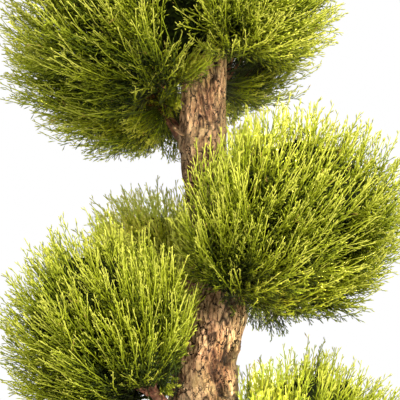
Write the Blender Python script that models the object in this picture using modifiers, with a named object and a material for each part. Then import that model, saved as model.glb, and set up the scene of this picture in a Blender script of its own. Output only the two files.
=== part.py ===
"""Potted cypress, trained as a cloud tree: a winding trunk with round foliage pompons, in a clay pot.

Metres, +Z up. The pot stands on z = 0, centred on the origin. +X is the viewer's right and +Y points
away from the viewer. Every living piece is placed from the sizes below.
"""
import math

import bmesh
import bpy
from mathutils import Vector

OBJECT_NAME = "potted_cypress"
GAP = 0.0003            # free space between pieces that meet
CUT_GROWTH = 0.0004     # how far a cutter stands proud of the piece it stands for

# Pot: a turned clay pot with a band round its rim.
POT_HEIGHT = 0.300
POT_RIM_RADIUS = 0.174
POT_BAND_HEIGHT = 0.048
POT_BAND_STEP = 0.007
POT_BASE_RADIUS = 0.122
POT_WALL = 0.011
POT_FLOOR = 0.016
POT_EDGE = 0.004
POT_STEPS = 48
DRAIN_RADIUS = 0.008
DRAIN_PITCH_RADIUS = 0.075
DRAIN_COUNT = 4

# Soil: fills the pot up to a headspace under the rim, a little higher at the trunk.
SOIL_TOP = 0.268
SOIL_MOUND = 0.006

# Trunk: height, lean to the right, depth away from the viewer, radius.
TRUNK_ROUTE = [
    (0.215, -0.004, 0.000, 0.050),
    (0.268, -0.002, 0.000, 0.047),
    (0.300, 0.001, 0.000, 0.041),
    (0.350, 0.007, 0.003, 0.0375),
    (0.405, 0.011, 0.006, 0.036),
    (0.460, 0.005, 0.006, 0.035),
    (0.515, -0.008, 0.003, 0.0355),
    (0.570, -0.010, -0.001, 0.0345),
    (0.605, -0.006, -0.003, 0.0315),
    (0.650, 0.003, -0.001, 0.028),
    (0.691, 0.017, 0.006, 0.0265),
    (0.735, 0.010, 0.010, 0.0255),
    (0.780, -0.006, 0.006, 0.0245),
    (0.825, -0.010, 0.000, 0.0235),
    (0.870, -0.008, -0.002, 0.0222),
    (0.915, -0.006, 0.000, 0.0215),
    (0.960, -0.010, 0.004, 0.0185),
    (1.000, -0.018, 0.002, 0.015),
    (1.040, -0.020, 0.000, 0.009),
]
TRUNK_SIDES_LEVEL = 4
LIMB_SIDES_LEVEL = 2

# Branches: points as (right, away, up, radius), from inside the trunk to inside a pompon.
BRANCHES = {
    "branch_crown": [
        (-0.012, 0.004, 0.812, 0.0070),
        (-0.034, 0.016, 0.838, 0.0055),
        (-0.050, 0.032, 0.862, 0.0046),
        (-0.064, 0.048, 0.884, 0.0042),
        (-0.082, 0.066, 0.906, 0.0032),
    ],
    "branch_right_middle": [
        (0.016, 0.004, 0.684, 0.0110),
        (0.042, -0.012, 0.694, 0.0090),
        (0.066, -0.028, 0.716, 0.0072),
        (0.086, -0.040, 0.748, 0.0050),
    ],
    "branch_left_front": [
        (-0.008, -0.002, 0.548, 0.0100),
        (-0.038, -0.026, 0.560, 0.0062),
        (-0.058, -0.038, 0.582, 0.0050),
        (-0.084, -0.046, 0.612, 0.0044),
        (-0.104, -0.050, 0.640, 0.0034),
    ],
    "branch_left_back": [
        (0.006, 0.006, 0.668, 0.0090),
        (-0.014, 0.040, 0.674, 0.0074),
        (-0.034, 0.074, 0.688, 0.0062),
        (-0.054, 0.106, 0.706, 0.0044),
    ],
    "branch_right_lower": [
        (0.004, 0.004, 0.452, 0.0120),
        (0.040, -0.004, 0.456, 0.0094),
        (0.070, -0.012, 0.468, 0.0076),
        (0.098, -0.018, 0.498, 0.0052),
    ],
    "branch_left_lower": [
        (0.010, 0.006, 0.386, 0.0120),
        (-0.028, 0.020, 0.388, 0.0090),
        (-0.056, 0.032, 0.396, 0.0072),
        (-0.082, 0.040, 0.420, 0.0050),
    ],
}

# Pompons: centre, half sizes, how deep the underside hangs at the front and at the back as shares
# of the half height, and lobes: each one's direction and how far it swells, as a share of the radius,
# or shrinks where the share is negative.
POMPONS = {
    "foliage_crown": {
        "centre": (-0.031, 0.004, 0.985),
        "halves": (0.179, 0.166, 0.168),
        "underside": (0.46, 1.02),
        "lobes": [((-0.80, 0.18, -0.55), 0.16), ((-0.38, 0.50, -0.80), 0.32)],
    },
    "foliage_right_middle": {
        "centre": (0.087, -0.044, 0.766),
        "halves": (0.122, 0.108, 0.111),
        "underside": (0.72, 1.20),
        "lobes": [
            ((-0.25, 0.70, -0.75), 0.20),
            ((-0.92, -0.25, -0.12), 0.11),
            ((-0.72, -0.30, 0.62), -0.06),
        ],
    },
    "foliage_left_front": {
        "centre": (-0.113, -0.060, 0.652),
        "halves": (0.109, 0.104, 0.106),
        "underside": (0.98, 1.00),
        "lobes": [
            ((0.00, -0.10, 0.90), 0.05),
            ((0.76, -0.10, -0.65), -0.23),
        ],
    },
    "foliage_left_back": {
        "centre": (-0.062, 0.124, 0.712),
        "halves": (0.084, 0.078, 0.079),
        "underside": (0.95, 0.90),
        "lobes": [((-0.20, 0.30, 0.90), 0.04)],
    },
    "foliage_right_lower": {
        "centre": (0.100, -0.020, 0.514),
        "halves": (0.110, 0.104, 0.104),
        "underside": (0.90, 1.00),
        "lobes": [((-0.60, -0.10, 0.78), 0.14)],
    },
    "foliage_left_lower": {
        "centre": (-0.096, 0.046, 0.434),
        "halves": (0.092, 0.092, 0.084),
        "underside": (0.92, 1.00),
        "lobes": [((-0.80, -0.30, 0.30), 0.08)],
    },
}
POMPON_SEGMENTS = 28
POMPON_RINGS = 16
LUMP_HEIGHT = 0.035
LOBE_SHARPNESS = 4

# Which pieces pass through each pompon.
POMPON_CUTS = {
    "foliage_crown": ("trunk", "branch_crown"),
    "foliage_right_middle": ("trunk", "branch_right_middle"),
    "foliage_left_front": ("trunk", "branch_left_front"),
    "foliage_left_back": ("branch_left_back",),
    "foliage_right_lower": ("trunk", "branch_right_lower"),
    "foliage_left_lower": ("trunk", "branch_left_lower"),
}

# Finishes: linear colour, roughness.
FINISHES = {
    "terracotta": ((0.392, 0.127, 0.056), 0.82),
    "potting_soil": ((0.030, 0.018, 0.011), 0.95),
    "cypress_bark": ((0.260, 0.150, 0.085), 0.88),
    "young_bark": ((0.230, 0.080, 0.040), 0.70),
    "cypress_foliage": ((0.260, 0.400, 0.022), 0.60),
}


def clear_scene():
    """Remove whatever the file holds."""
    for item in list(bpy.data.objects):
        bpy.data.objects.remove(item, do_unlink=True)


def new_collection(name):
    """A collection linked to the scene."""
    collection = bpy.data.collections.new(name)
    bpy.context.scene.collection.children.link(collection)
    return collection


def finish_material(node_name, finish):
    """A material for one piece, from the table of finishes."""
    colour, roughness = FINISHES[finish]
    material = bpy.data.materials.new(node_name + "_" + finish)
    material.use_nodes = True
    shader = material.node_tree.nodes["Principled BSDF"]
    shader.inputs["Base Color"].default_value = (*colour, 1.0)
    shader.inputs["Roughness"].default_value = roughness
    shader.inputs["Metallic"].default_value = 0.0
    material.diffuse_color = (*colour, 1.0)
    return material


def add_object(name, mesh, collection, finish=None):
    """An object for the mesh, in the collection, with its finish."""
    item = bpy.data.objects.new(name, mesh)
    collection.objects.link(item)
    if finish:
        mesh.materials.append(finish_material(name, finish))
    return item


def mesh_from_bmesh(name, shape):
    """A mesh made of the bmesh, which is freed."""
    bmesh.ops.recalc_face_normals(shape, faces=shape.faces)
    mesh = bpy.data.meshes.new(name)
    shape.to_mesh(mesh)
    shape.free()
    return mesh


def smooth(item, angle=math.radians(35)):
    """Shade smooth, with sharp edges past the angle."""
    item.data.shade_smooth()
    item.data.set_sharp_from_angle(angle=angle)


def evaluated_mesh(item):
    """A plain mesh of the object as its modifiers leave it."""
    bpy.context.view_layer.update()
    graph = bpy.context.evaluated_depsgraph_get()
    return bpy.data.meshes.new_from_object(item.evaluated_get(graph))


def cut(item, cutter):
    """Cut the cutter's shape out of the object."""
    step = item.modifiers.new("cut_" + cutter.name, "BOOLEAN")
    step.operation = "DIFFERENCE"
    step.solver = "EXACT"
    step.object = cutter


def as_cutter(item):
    """Mark an object as a cutter."""
    item.hide_render = True
    item.display_type = "WIRE"
    return item


def turned(name, profile, collection, finish, steps=POT_STEPS):
    """A closed solid turned about Z from a profile of (radius, height) points."""
    mesh = bpy.data.meshes.new(name)
    points = [(radius, 0.0, height) for radius, height in profile]
    edges = [(i, i + 1) for i in range(len(points) - 1)]
    mesh.from_pydata(points, edges, [])
    item = add_object(name, mesh, collection, finish)
    screw = item.modifiers.new("turn", "SCREW")
    screw.axis = "Z"
    screw.angle = 2.0 * math.pi
    screw.steps = steps
    screw.render_steps = steps
    screw.use_merge_vertices = True
    screw.merge_threshold = 0.00001
    screw.use_smooth_shade = True
    return item


def quarter(centre, radius, start, end, count=4):
    """Points on an arc of a profile, from one angle to another in degrees."""
    angles = [math.radians(start + (end - start) * i / count) for i in range(count + 1)]
    return [(centre[0] + radius * math.cos(a), centre[1] + radius * math.sin(a)) for a in angles]


def body_radius(height):
    """The pot's outer radius below its band, which widens evenly with height."""
    top = POT_RIM_RADIUS - POT_BAND_STEP
    return POT_BASE_RADIUS + (top - POT_BASE_RADIUS) * height / POT_HEIGHT


def inner_radius(height):
    """The pot's inner radius."""
    return body_radius(height) - POT_WALL


def pot_profile():
    """Inner floor, inner wall, rounded rim, band, outer wall and base, ending on the axis."""
    band_bottom = POT_HEIGHT - POT_BAND_HEIGHT
    edge = POT_EDGE
    rim_inner = inner_radius(POT_HEIGHT)
    profile = [(0.0, POT_FLOOR), (inner_radius(POT_FLOOR) - edge, POT_FLOOR)]
    profile.append((inner_radius(POT_FLOOR + edge), POT_FLOOR + edge))
    profile += quarter((rim_inner + edge, POT_HEIGHT - edge), edge, 180, 90)
    profile += quarter((POT_RIM_RADIUS - edge, POT_HEIGHT - edge), edge, 90, 0)
    profile += quarter((POT_RIM_RADIUS - edge, band_bottom + edge), edge, 0, -70)
    profile.append((body_radius(band_bottom), band_bottom - edge / 2))
    profile += quarter((POT_BASE_RADIUS - edge, edge), edge, 0, -90)
    profile.append((0.0, 0.0))
    return profile


def build_pot(parts, cutters):
    """The clay pot with drain holes through its floor."""
    pot = turned("pot", pot_profile(), parts, "terracotta")
    for index in range(DRAIN_COUNT):
        angle = 2.0 * math.pi * (index + 0.5) / DRAIN_COUNT
        shape = bmesh.new()
        bmesh.ops.create_cone(
            shape, cap_ends=True, segments=20, radius1=DRAIN_RADIUS, radius2=DRAIN_RADIUS, depth=0.06
        )
        hole = add_object("drain_cutter_%d" % index, mesh_from_bmesh("drain", shape), cutters)
        hole.location = (DRAIN_PITCH_RADIUS * math.cos(angle), DRAIN_PITCH_RADIUS * math.sin(angle), 0.0)
        cut(pot, as_cutter(hole))


def soil_profile():
    """Mounded top, side along the pot's inner wall, and flat underside."""
    bottom = POT_FLOOR + 2 * GAP
    foot = POT_FLOOR + POT_EDGE + 2 * GAP
    clear = 2 * GAP
    return [
        (0.0, SOIL_TOP + SOIL_MOUND),
        (0.060, SOIL_TOP + 0.7 * SOIL_MOUND),
        (0.110, SOIL_TOP + 0.1 * SOIL_MOUND),
        (inner_radius(SOIL_TOP) - clear, SOIL_TOP),
        (inner_radius(foot) - clear, foot),
        (inner_radius(POT_FLOOR) - POT_EDGE - clear, bottom),
        (0.0, bottom),
    ]


def build_soil(parts, trunk_cutter):
    """The soil, with the trunk's foot let into it."""
    soil = turned("potting_soil", soil_profile(), parts, "potting_soil")
    cut(soil, trunk_cutter)


def limb_mesh(name, route, sides_level, spans):
    """A tapering limb along (point, radius) pairs, as one closed mesh."""
    data = bpy.data.curves.new(name, "CURVE")
    data.dimensions = "3D"
    data.bevel_depth = 1.0
    data.bevel_resolution = sides_level
    data.resolution_u = spans
    data.use_fill_caps = True
    spline = data.splines.new("BEZIER")
    spline.bezier_points.add(len(route) - 1)
    for knot, (place, radius) in zip(spline.bezier_points, route):
        knot.co = place
        knot.radius = radius
        knot.handle_left_type = "AUTO"
        knot.handle_right_type = "AUTO"
    guide = bpy.data.objects.new(name + "_guide", data)
    bpy.context.scene.collection.objects.link(guide)
    mesh = evaluated_mesh(guide)
    bpy.data.objects.remove(guide, do_unlink=True)
    shape = bmesh.new()
    shape.from_mesh(mesh)
    bmesh.ops.remove_doubles(shape, verts=shape.verts, dist=0.00001)
    mesh.clear_geometry()
    bmesh.ops.recalc_face_normals(shape, faces=shape.faces)
    shape.to_mesh(mesh)
    shape.free()
    return mesh


def grown(name, mesh, cutters):
    """A cutter that is the mesh moved outwards all over by the cut growth."""
    shape = bmesh.new()
    shape.from_mesh(mesh)
    shape.normal_update()
    moves = [(vertex, vertex.normal * CUT_GROWTH) for vertex in shape.verts]
    for vertex, move in moves:
        vertex.co += move
    return as_cutter(add_object(name + "_cutter", mesh_from_bmesh(name + "_cutter", shape), cutters))


def build_trunk(parts, cutters):
    """The trunk. Returns the cutter that makes room for it in its neighbours."""
    route = [(Vector((lean, depth, height)), radius) for height, lean, depth, radius in TRUNK_ROUTE]
    mesh = limb_mesh("trunk", route, TRUNK_SIDES_LEVEL, 2)
    smooth(add_object("trunk", mesh, parts, "cypress_bark"))
    return grown("trunk", mesh, cutters)


def build_branch(name, parts, cutters, trunk_cutter):
    """A branch that starts at the trunk's surface. Returns its own cutter."""
    route = [(Vector(point[:3]), point[3]) for point in BRANCHES[name]]
    mesh = limb_mesh(name, route, LIMB_SIDES_LEVEL, 3)
    cutter = grown(name, mesh, cutters)
    branch = add_object(name, mesh, parts, "young_bark")
    cut(branch, trunk_cutter)
    smooth(branch)
    return cutter


def lumps(direction, phase):
    """Low swellings over a pompon's surface, from three waves that cross."""
    wave = math.sin(5.0 * direction.x + 3.0 * direction.z + phase)
    wave += math.sin(6.0 * direction.y - 4.0 * direction.x + 2.0 * phase)
    wave += math.sin(7.0 * direction.z + 5.0 * direction.y + 3.0 * phase)
    return 1.0 - LUMP_HEIGHT + LUMP_HEIGHT * wave / 3.0


def pompon_point(direction, sizes, phase):
    """A unit direction carried to the pompon's surface: an ellipsoid with lumps, lobes and a
    shallower underside at the front."""
    front_depth, back_depth = sizes["underside"]
    depth = front_depth + (back_depth - front_depth) * (direction.y + 1.0) / 2.0
    fall = depth if direction.z < 0.0 else 1.0
    reach = lumps(direction, phase)
    for lobe_direction, swelling in sizes["lobes"]:
        facing = max(0.0, direction.dot(Vector(lobe_direction).normalized()))
        reach += swelling * facing ** LOBE_SHARPNESS
    across, along, up = sizes["halves"]
    return Vector((direction.x * across, direction.y * along, direction.z * up * fall)) * reach


def build_pompon(name, phase, parts, cutters_by_name):
    """A foliage pompon as one closed solid of its outer shape, open where wood passes into it."""
    sizes = POMPONS[name]
    centre = Vector(sizes["centre"])
    shape = bmesh.new()
    bmesh.ops.create_uvsphere(
        shape, u_segments=POMPON_SEGMENTS, v_segments=POMPON_RINGS, radius=1.0
    )
    for vertex in shape.verts:
        vertex.co = centre + pompon_point(vertex.co.normalized(), sizes, phase)
    pompon = add_object(name, mesh_from_bmesh(name, shape), parts, "cypress_foliage")
    for piece in POMPON_CUTS[name]:
        cut(pompon, cutters_by_name[piece])
    smooth(pompon)


def main():
    """Build every piece."""
    clear_scene()
    parts = new_collection(OBJECT_NAME)
    cutters = new_collection(OBJECT_NAME + "_cutters")
    trunk_cutter = build_trunk(parts, cutters)
    cutters_by_name = {"trunk": trunk_cutter}
    build_pot(parts, cutters)
    build_soil(parts, trunk_cutter)
    for name in BRANCHES:
        cutters_by_name[name] = build_branch(name, parts, cutters, trunk_cutter)
    for index, name in enumerate(POMPONS):
        build_pompon(name, 0.9 * index + 0.4, parts, cutters_by_name)


main()
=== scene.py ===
"""Potted cypress trained as a cloud tree: the finished surfaces, light and camera around the frame.

The tree's sizes and places are read from the frame. Everything else is worked out below in metres.
"""
import logging
import math
from dataclasses import dataclass, field
from enum import Enum

import bpy
import numpy as np
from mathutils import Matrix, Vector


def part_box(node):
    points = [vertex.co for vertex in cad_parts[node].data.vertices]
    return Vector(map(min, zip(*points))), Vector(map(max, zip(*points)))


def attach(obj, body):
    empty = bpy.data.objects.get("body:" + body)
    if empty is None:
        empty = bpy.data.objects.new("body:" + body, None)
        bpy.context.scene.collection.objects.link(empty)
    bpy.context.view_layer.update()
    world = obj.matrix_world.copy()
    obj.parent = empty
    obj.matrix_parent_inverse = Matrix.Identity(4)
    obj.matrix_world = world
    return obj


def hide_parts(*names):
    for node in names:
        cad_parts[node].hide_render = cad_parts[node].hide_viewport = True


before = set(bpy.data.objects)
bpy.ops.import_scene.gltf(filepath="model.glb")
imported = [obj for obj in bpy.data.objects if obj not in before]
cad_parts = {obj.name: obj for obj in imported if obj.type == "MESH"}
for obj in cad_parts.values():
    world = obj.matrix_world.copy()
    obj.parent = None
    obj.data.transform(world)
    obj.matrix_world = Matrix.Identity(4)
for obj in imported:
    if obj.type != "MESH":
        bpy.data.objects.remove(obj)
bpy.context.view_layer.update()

CHART = "OFBake"
MM_PER_METRE = 1000.0
CAP_STEP = 0.004  # how far a cap's middle lies past its rim in the chart
LOG = logging.getLogger("potted_cypress")


# ---------------------------------------------------------------------------------------------
# Small tools
# ---------------------------------------------------------------------------------------------

def linear(code: str) -> tuple[float, float, float, float]:
    """Turn an sRGB hex colour into linear light.

    Args:
        code: six hex digits after a hash sign.

    Returns:
        Red, green, blue and a full alpha.
    """
    parts = [int(code[i:i + 2], 16) / 255.0 for i in (1, 3, 5)]
    light = [c / 12.92 if c <= 0.04045 else ((c + 0.055) / 1.055) ** 2.4 for c in parts]
    return (*light, 1.0)


def unit(vectors: np.ndarray) -> np.ndarray:
    """Scale each vector along the last axis to length one."""
    return vectors / np.maximum(np.linalg.norm(vectors, axis=-1, keepdims=True), 1e-12)


def smoothstep(low: float, high: float, value: np.ndarray) -> np.ndarray:
    """Rise from 0 at low to 1 at high with level ends."""
    share = np.clip((value - low) / (high - low), 0.0, 1.0)
    return share * share * (3.0 - 2.0 * share)


def side_axes(direction: np.ndarray, hint: np.ndarray) -> tuple[np.ndarray, np.ndarray]:
    """Two axes square to each direction and to each other.

    Args:
        direction: unit vectors, shape (..., 3).
        hint: vectors that the first axis stays square to, shape (..., 3).

    Returns:
        The first and second axis, with direction = first x second.
    """
    first = unit(np.cross(hint, direction))
    return first, np.cross(direction, first)


def level_chart(across: np.ndarray, along: np.ndarray) -> np.ndarray:
    """Chart places of tubes whose rings are level in the chart.

    Args:
        across: the chart's first number for a ring's corners, shape (..., corners).
        along: the chart's second number for each ring, shape (..., rings).

    Returns:
        Places, shape (..., rings, corners, 2).
    """
    return np.stack(np.broadcast_arrays(across[..., None, :], along[..., None]), axis=-1)


def bowed_path(start: np.ndarray, end: np.ndarray, bow: np.ndarray, share: np.ndarray) -> np.ndarray:
    """Points on bowed lines: the straight line plus the bow times four share (1 - share).

    Args:
        start: where each line starts, shape (lines, 3).
        end: where it ends, shape (lines, 3).
        bow: how far its middle is pushed aside, shape (lines, 3) or (3,).
        share: places along it, 0 at its start and 1 at its end, shape (places,) or (lines, places).

    Returns:
        Points, shape (lines, places, 3).
    """
    share = np.atleast_2d(share)[..., None]
    line = start[:, None] + (end - start)[:, None] * share
    return line + np.atleast_2d(bow)[:, None] * (4.0 * share * (1.0 - share))


class RollingNoise:
    """Smooth value noise on a lattice that wraps round in both directions."""

    def __init__(self, seed: int, columns: int, rows: int) -> None:
        """Fill the lattice with seeded values from -1 to 1."""
        rng = np.random.default_rng(seed)
        self.lattice = rng.uniform(-1.0, 1.0, (columns, rows))

    def at(self, across: np.ndarray, along: np.ndarray) -> np.ndarray:
        """Read the noise: the four lattice values round a place, blended by smoothstep weights.

        Args:
            across: place in lattice columns.
            along: place in lattice rows.

        Returns:
            Values from -1 to 1, shaped like the places.
        """
        columns, rows = self.lattice.shape
        left = np.floor(across).astype(int)
        low = np.floor(along).astype(int)
        a = across - left
        b = along - low
        a = a * a * (3.0 - 2.0 * a)
        b = b * b * (3.0 - 2.0 * b)
        corner = self.lattice
        bottom = corner[left % columns, low % rows] * (1 - a) + corner[(left + 1) % columns, low % rows] * a
        top_row = (low + 1) % rows
        top = corner[left % columns, top_row] * (1 - a) + corner[(left + 1) % columns, top_row] * a
        return bottom * (1 - b) + top * b

    def layered(self, across: np.ndarray, along: np.ndarray, octaves: int) -> np.ndarray:
        """Add finer copies to the noise: each is twice as fine and half as strong as the last.

        Args:
            across: place in lattice columns.
            along: place in lattice rows.
            octaves: how many copies.

        Returns:
            Values from -1 to 1, shaped like the places.
        """
        total = self.at(across, along)
        for octave in range(1, octaves):
            fine = 2 ** octave
            total = total + self.at(across * fine, along * fine + 3.7 * octave) / fine
        return total / (2.0 - 2.0 ** (1 - octaves))


@dataclass
class Surface:
    """A mesh held as whole arrays, with a chart place for every corner of every face."""

    points: np.ndarray
    quads: np.ndarray
    triangles: np.ndarray
    quad_chart: np.ndarray
    triangle_chart: np.ndarray
    values: dict[str, np.ndarray] = field(default_factory=dict)

    @staticmethod
    def joined(parts: list["Surface"]) -> "Surface":
        """Join surfaces into one, shifting each one's corner numbers past those before it."""
        shifts = np.cumsum([0] + [len(part.points) for part in parts[:-1]])
        return Surface(
            points=np.concatenate([part.points for part in parts]),
            quads=np.concatenate([part.quads + shift for part, shift in zip(parts, shifts)]),
            triangles=np.concatenate([part.triangles + shift for part, shift in zip(parts, shifts)]),
            quad_chart=np.concatenate([part.quad_chart for part in parts]),
            triangle_chart=np.concatenate([part.triangle_chart for part in parts]),
        )

    def piece(self, name: str) -> bpy.types.Object:
        """Make the surface an object at the origin.

        Args:
            name: the object's name.

        Returns:
            The new object, smooth shaded, with its chart as a UV map.
        """
        mesh = bpy.data.meshes.new(name)
        corners = np.concatenate([self.quads.ravel(), self.triangles.ravel()]).astype(np.int32)
        starts = np.concatenate([
            np.arange(len(self.quads)) * 4,
            len(self.quads) * 4 + np.arange(len(self.triangles)) * 3,
        ]).astype(np.int32)
        mesh.vertices.add(len(self.points))
        mesh.vertices.foreach_set("co", self.points.astype(np.float32).ravel())
        mesh.loops.add(len(corners))
        mesh.loops.foreach_set("vertex_index", corners)
        mesh.polygons.add(len(starts))
        mesh.polygons.foreach_set("loop_start", starts)
        mesh.update(calc_edges=True)
        chart = np.concatenate([self.quad_chart.reshape(-1, 2), self.triangle_chart.reshape(-1, 2)])
        layer = mesh.uv_layers.new(name=CHART)
        layer.data.foreach_set("uv", chart.astype(np.float32).ravel())
        for key, numbers in self.values.items():
            layer = mesh.attributes.new(name=key, type="FLOAT", domain="POINT")
            layer.data.foreach_set("value", numbers.astype(np.float32).ravel())
        mesh.shade_smooth()
        item = bpy.data.objects.new(name, mesh)
        bpy.context.scene.collection.objects.link(item)
        return item


def ring_quads(rings: np.ndarray, chart: np.ndarray) -> tuple[np.ndarray, np.ndarray, np.ndarray]:
    """Join ring r of every tube to ring r + 1 by quads.

    Args:
        rings: ring points, shape (tubes, rings, sides, 3).
        chart: chart places, shape (tubes, rings, sides + 1, 2).

    Returns:
        The ring points' numbers, shape (tubes, rings, sides), the quads and the quads' chart places.
    """
    tubes, count, sides, _ = rings.shape
    body = np.arange(tubes * count * sides).reshape(tubes, count, sides)
    ahead = np.roll(body, -1, axis=2)
    quads = np.stack([body[:, :-1], ahead[:, :-1], ahead[:, 1:], body[:, 1:]], axis=-1)
    corners = [chart[:, :-1, :-1], chart[:, :-1, 1:], chart[:, 1:, 1:], chart[:, 1:, :-1]]
    return body, quads.reshape(-1, 4), np.stack(corners, axis=-2).reshape(-1, 4, 2)


def tube_surface(
    rings: np.ndarray, chart: np.ndarray, values: dict[str, np.ndarray] | None = None
) -> Surface:
    """Skin many closed tubes at once, each with a flat foot and a blunt point.

    Ring r of a tube is joined to ring r + 1 by quads. The last ring closes on a point one ring radius
    ahead of it. The first ring closes on its own mean point.

    Args:
        rings: ring points, shape (tubes, rings, sides, 3), counter-clockwise seen from the end.
        chart: chart places, shape (tubes, rings, sides + 1, 2).
        values: per-point values by name, each shaped (tubes, rings, sides).

    Returns:
        One surface that holds every tube.
    """
    tubes, _, sides, _ = rings.shape
    body, quads, quad_chart = ring_quads(rings, chart)
    foot, end = body[:, 0], body[:, -1]
    middles = body.size + np.arange(2 * tubes).reshape(2, tubes)
    fans = [
        (end, np.roll(end, -1, 1), middles[1], chart[:, -1, :-1], chart[:, -1, 1:], CAP_STEP),
        (np.roll(foot, -1, 1), foot, middles[0], chart[:, 0, 1:], chart[:, 0, :-1], -CAP_STEP),
    ]
    triangles, triangle_chart = [], []
    for first, second, middle, first_chart, second_chart, step in fans:
        triangles.append(np.stack([first, second, np.repeat(middle[:, None], sides, 1)], -1))
        centre = first_chart.mean(axis=1, keepdims=True).repeat(sides, 1) + [0.0, step]
        triangle_chart.append(np.stack([first_chart, second_chart, centre], axis=-2))
    forward = unit(rings[:, -1].mean(1) - rings[:, -2].mean(1))
    width = np.linalg.norm(rings[:, -1] - rings[:, -1].mean(1, keepdims=True), axis=-1).mean(1)
    points = np.concatenate([
        rings.reshape(-1, 3), rings[:, 0].mean(1), rings[:, -1].mean(1) + forward * width[:, None],
    ])
    spread = {}
    for key, numbers in (values or {}).items():
        spread[key] = np.concatenate([numbers.ravel(), numbers[:, 0].mean(1), numbers[:, -1].mean(1)])
    return Surface(
        points=points,
        quads=quads,
        triangles=np.concatenate(triangles).reshape(-1, 3),
        quad_chart=quad_chart,
        triangle_chart=np.concatenate(triangle_chart).reshape(-1, 3, 2),
        values=spread,
    )


def twig_surface(rings: np.ndarray, chart: np.ndarray) -> Surface:
    """Skin many three-sided twigs with as few faces as close them.

    As tube_surface, but a twig's foot is one triangle across its first ring.

    Args:
        rings: ring points, shape (twigs, rings, 3, 3), counter-clockwise seen from the tip.
        chart: chart places, shape (twigs, rings, 4, 2).

    Returns:
        One surface that holds every twig.
    """
    twigs, _, sides, _ = rings.shape
    body, quads, quad_chart = ring_quads(rings, chart)
    last = rings[:, -1].mean(1)
    forward = unit(last - rings[:, -2].mean(1))
    width = np.linalg.norm(rings[:, -1, 0] - last, axis=-1, keepdims=True)
    end = body[:, -1]
    apex = np.repeat(body.size + np.arange(twigs)[:, None], sides, 1)
    tip = np.stack([end, np.roll(end, -1, 1), apex], -1)
    peak = np.broadcast_to(chart[:, -1].mean(axis=1, keepdims=True) + [0.0, CAP_STEP], (twigs, sides, 2))
    tip_chart = np.stack([chart[:, -1, :-1], chart[:, -1, 1:], peak], axis=-2)
    foot = body[:, 0][:, ::-1]
    foot_chart = chart[:, 0, 2::-1] - np.array([[0.0, 0.0], [0.0, CAP_STEP], [0.0, 0.0]])
    return Surface(
        points=np.concatenate([rings.reshape(-1, 3), last + forward * width]),
        quads=quads,
        triangles=np.concatenate([tip.reshape(-1, 3), foot.reshape(-1, 3)]),
        quad_chart=quad_chart,
        triangle_chart=np.concatenate([tip_chart.reshape(-1, 3, 2), foot_chart.reshape(-1, 3, 2)]),
    )


def spindle_surface(foot: np.ndarray, waist: np.ndarray, tip: np.ndarray, radius: np.ndarray,
                    chart: np.ndarray) -> Surface:
    """Skin many slim three-sided spindles, each pointed at both ends and thickest at its waist.

    Args:
        foot: where the spindles start, shape (spindles, 3).
        waist: where they are thickest, shape (spindles, 3).
        tip: where they end, shape (spindles, 3).
        radius: the waist's radius, shape (spindles,).
        chart: chart places of the foot, the three waist corners and the tip, shape (spindles, 5, 2).

    Returns:
        One surface that holds every spindle.
    """
    heading = unit(tip - foot)
    first, second = side_axes(heading, np.roll(heading, 1, axis=1) + np.array([0.13, 0.29, 0.41]))
    turn = 2.0 * np.pi * np.arange(3) / 3
    ring = first[:, None] * np.cos(turn)[None, :, None] + second[:, None] * np.sin(turn)[None, :, None]
    ring = waist[:, None] + ring * radius[:, None, None]
    points = np.concatenate([foot[:, None], ring, tip[:, None]], axis=1)
    faces = np.array([(1, 2, 4), (2, 3, 4), (3, 1, 4), (2, 1, 0), (3, 2, 0), (1, 3, 0)])
    triangles = (faces[None] + 5 * np.arange(len(foot))[:, None, None]).reshape(-1, 3)
    return Surface(
        points=points.reshape(-1, 3), quads=np.empty((0, 4), int), triangles=triangles,
        quad_chart=np.empty((0, 4, 2)), triangle_chart=chart[:, faces].reshape(-1, 3, 2),
    )


def swept_rings(path: np.ndarray, radius: np.ndarray, sides: int, hint: np.ndarray) -> np.ndarray:
    """Put a ring of points round every point of every path.

    A ring point is the path point plus the radius times (cosine on one side axis and sine on the other).

    Args:
        path: path points, shape (paths, points, 3).
        radius: ring radii, shape (paths, points) or (paths, points, sides).
        sides: points in a ring.
        hint: a vector for each path that its side axes are measured from, shape (paths, 3).

    Returns:
        Ring points, shape (paths, points, sides, 3).
    """
    tangent = unit(np.gradient(path, axis=1))
    first, second = side_axes(tangent, np.broadcast_to(hint[:, None], path.shape))
    turn = 2.0 * np.pi * np.arange(sides) / sides
    around = (
        first[:, :, None] * np.cos(turn)[None, None, :, None]
        + second[:, :, None] * np.sin(turn)[None, None, :, None]
    )
    if radius.ndim == 2:
        radius = radius[:, :, None]
    return path[:, :, None] + around * radius[..., None]


def node_points(name: str) -> np.ndarray:
    """The corner points of a frame node's mesh, shape (n, 3)."""
    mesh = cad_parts[name].data
    points = np.empty(len(mesh.vertices) * 3, dtype=np.float64)
    mesh.vertices.foreach_get("co", points)
    return points.reshape(-1, 3)


def node_triangles(name: str) -> np.ndarray:
    """The triangles of a frame node's mesh as corner points, shape (n, 3, 3)."""
    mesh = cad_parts[name].data
    mesh.calc_loop_triangles()
    corners = np.empty(len(mesh.loop_triangles) * 3, dtype=np.int32)
    mesh.loop_triangles.foreach_get("vertices", corners)
    return node_points(name)[corners.reshape(-1, 3)]


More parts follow.
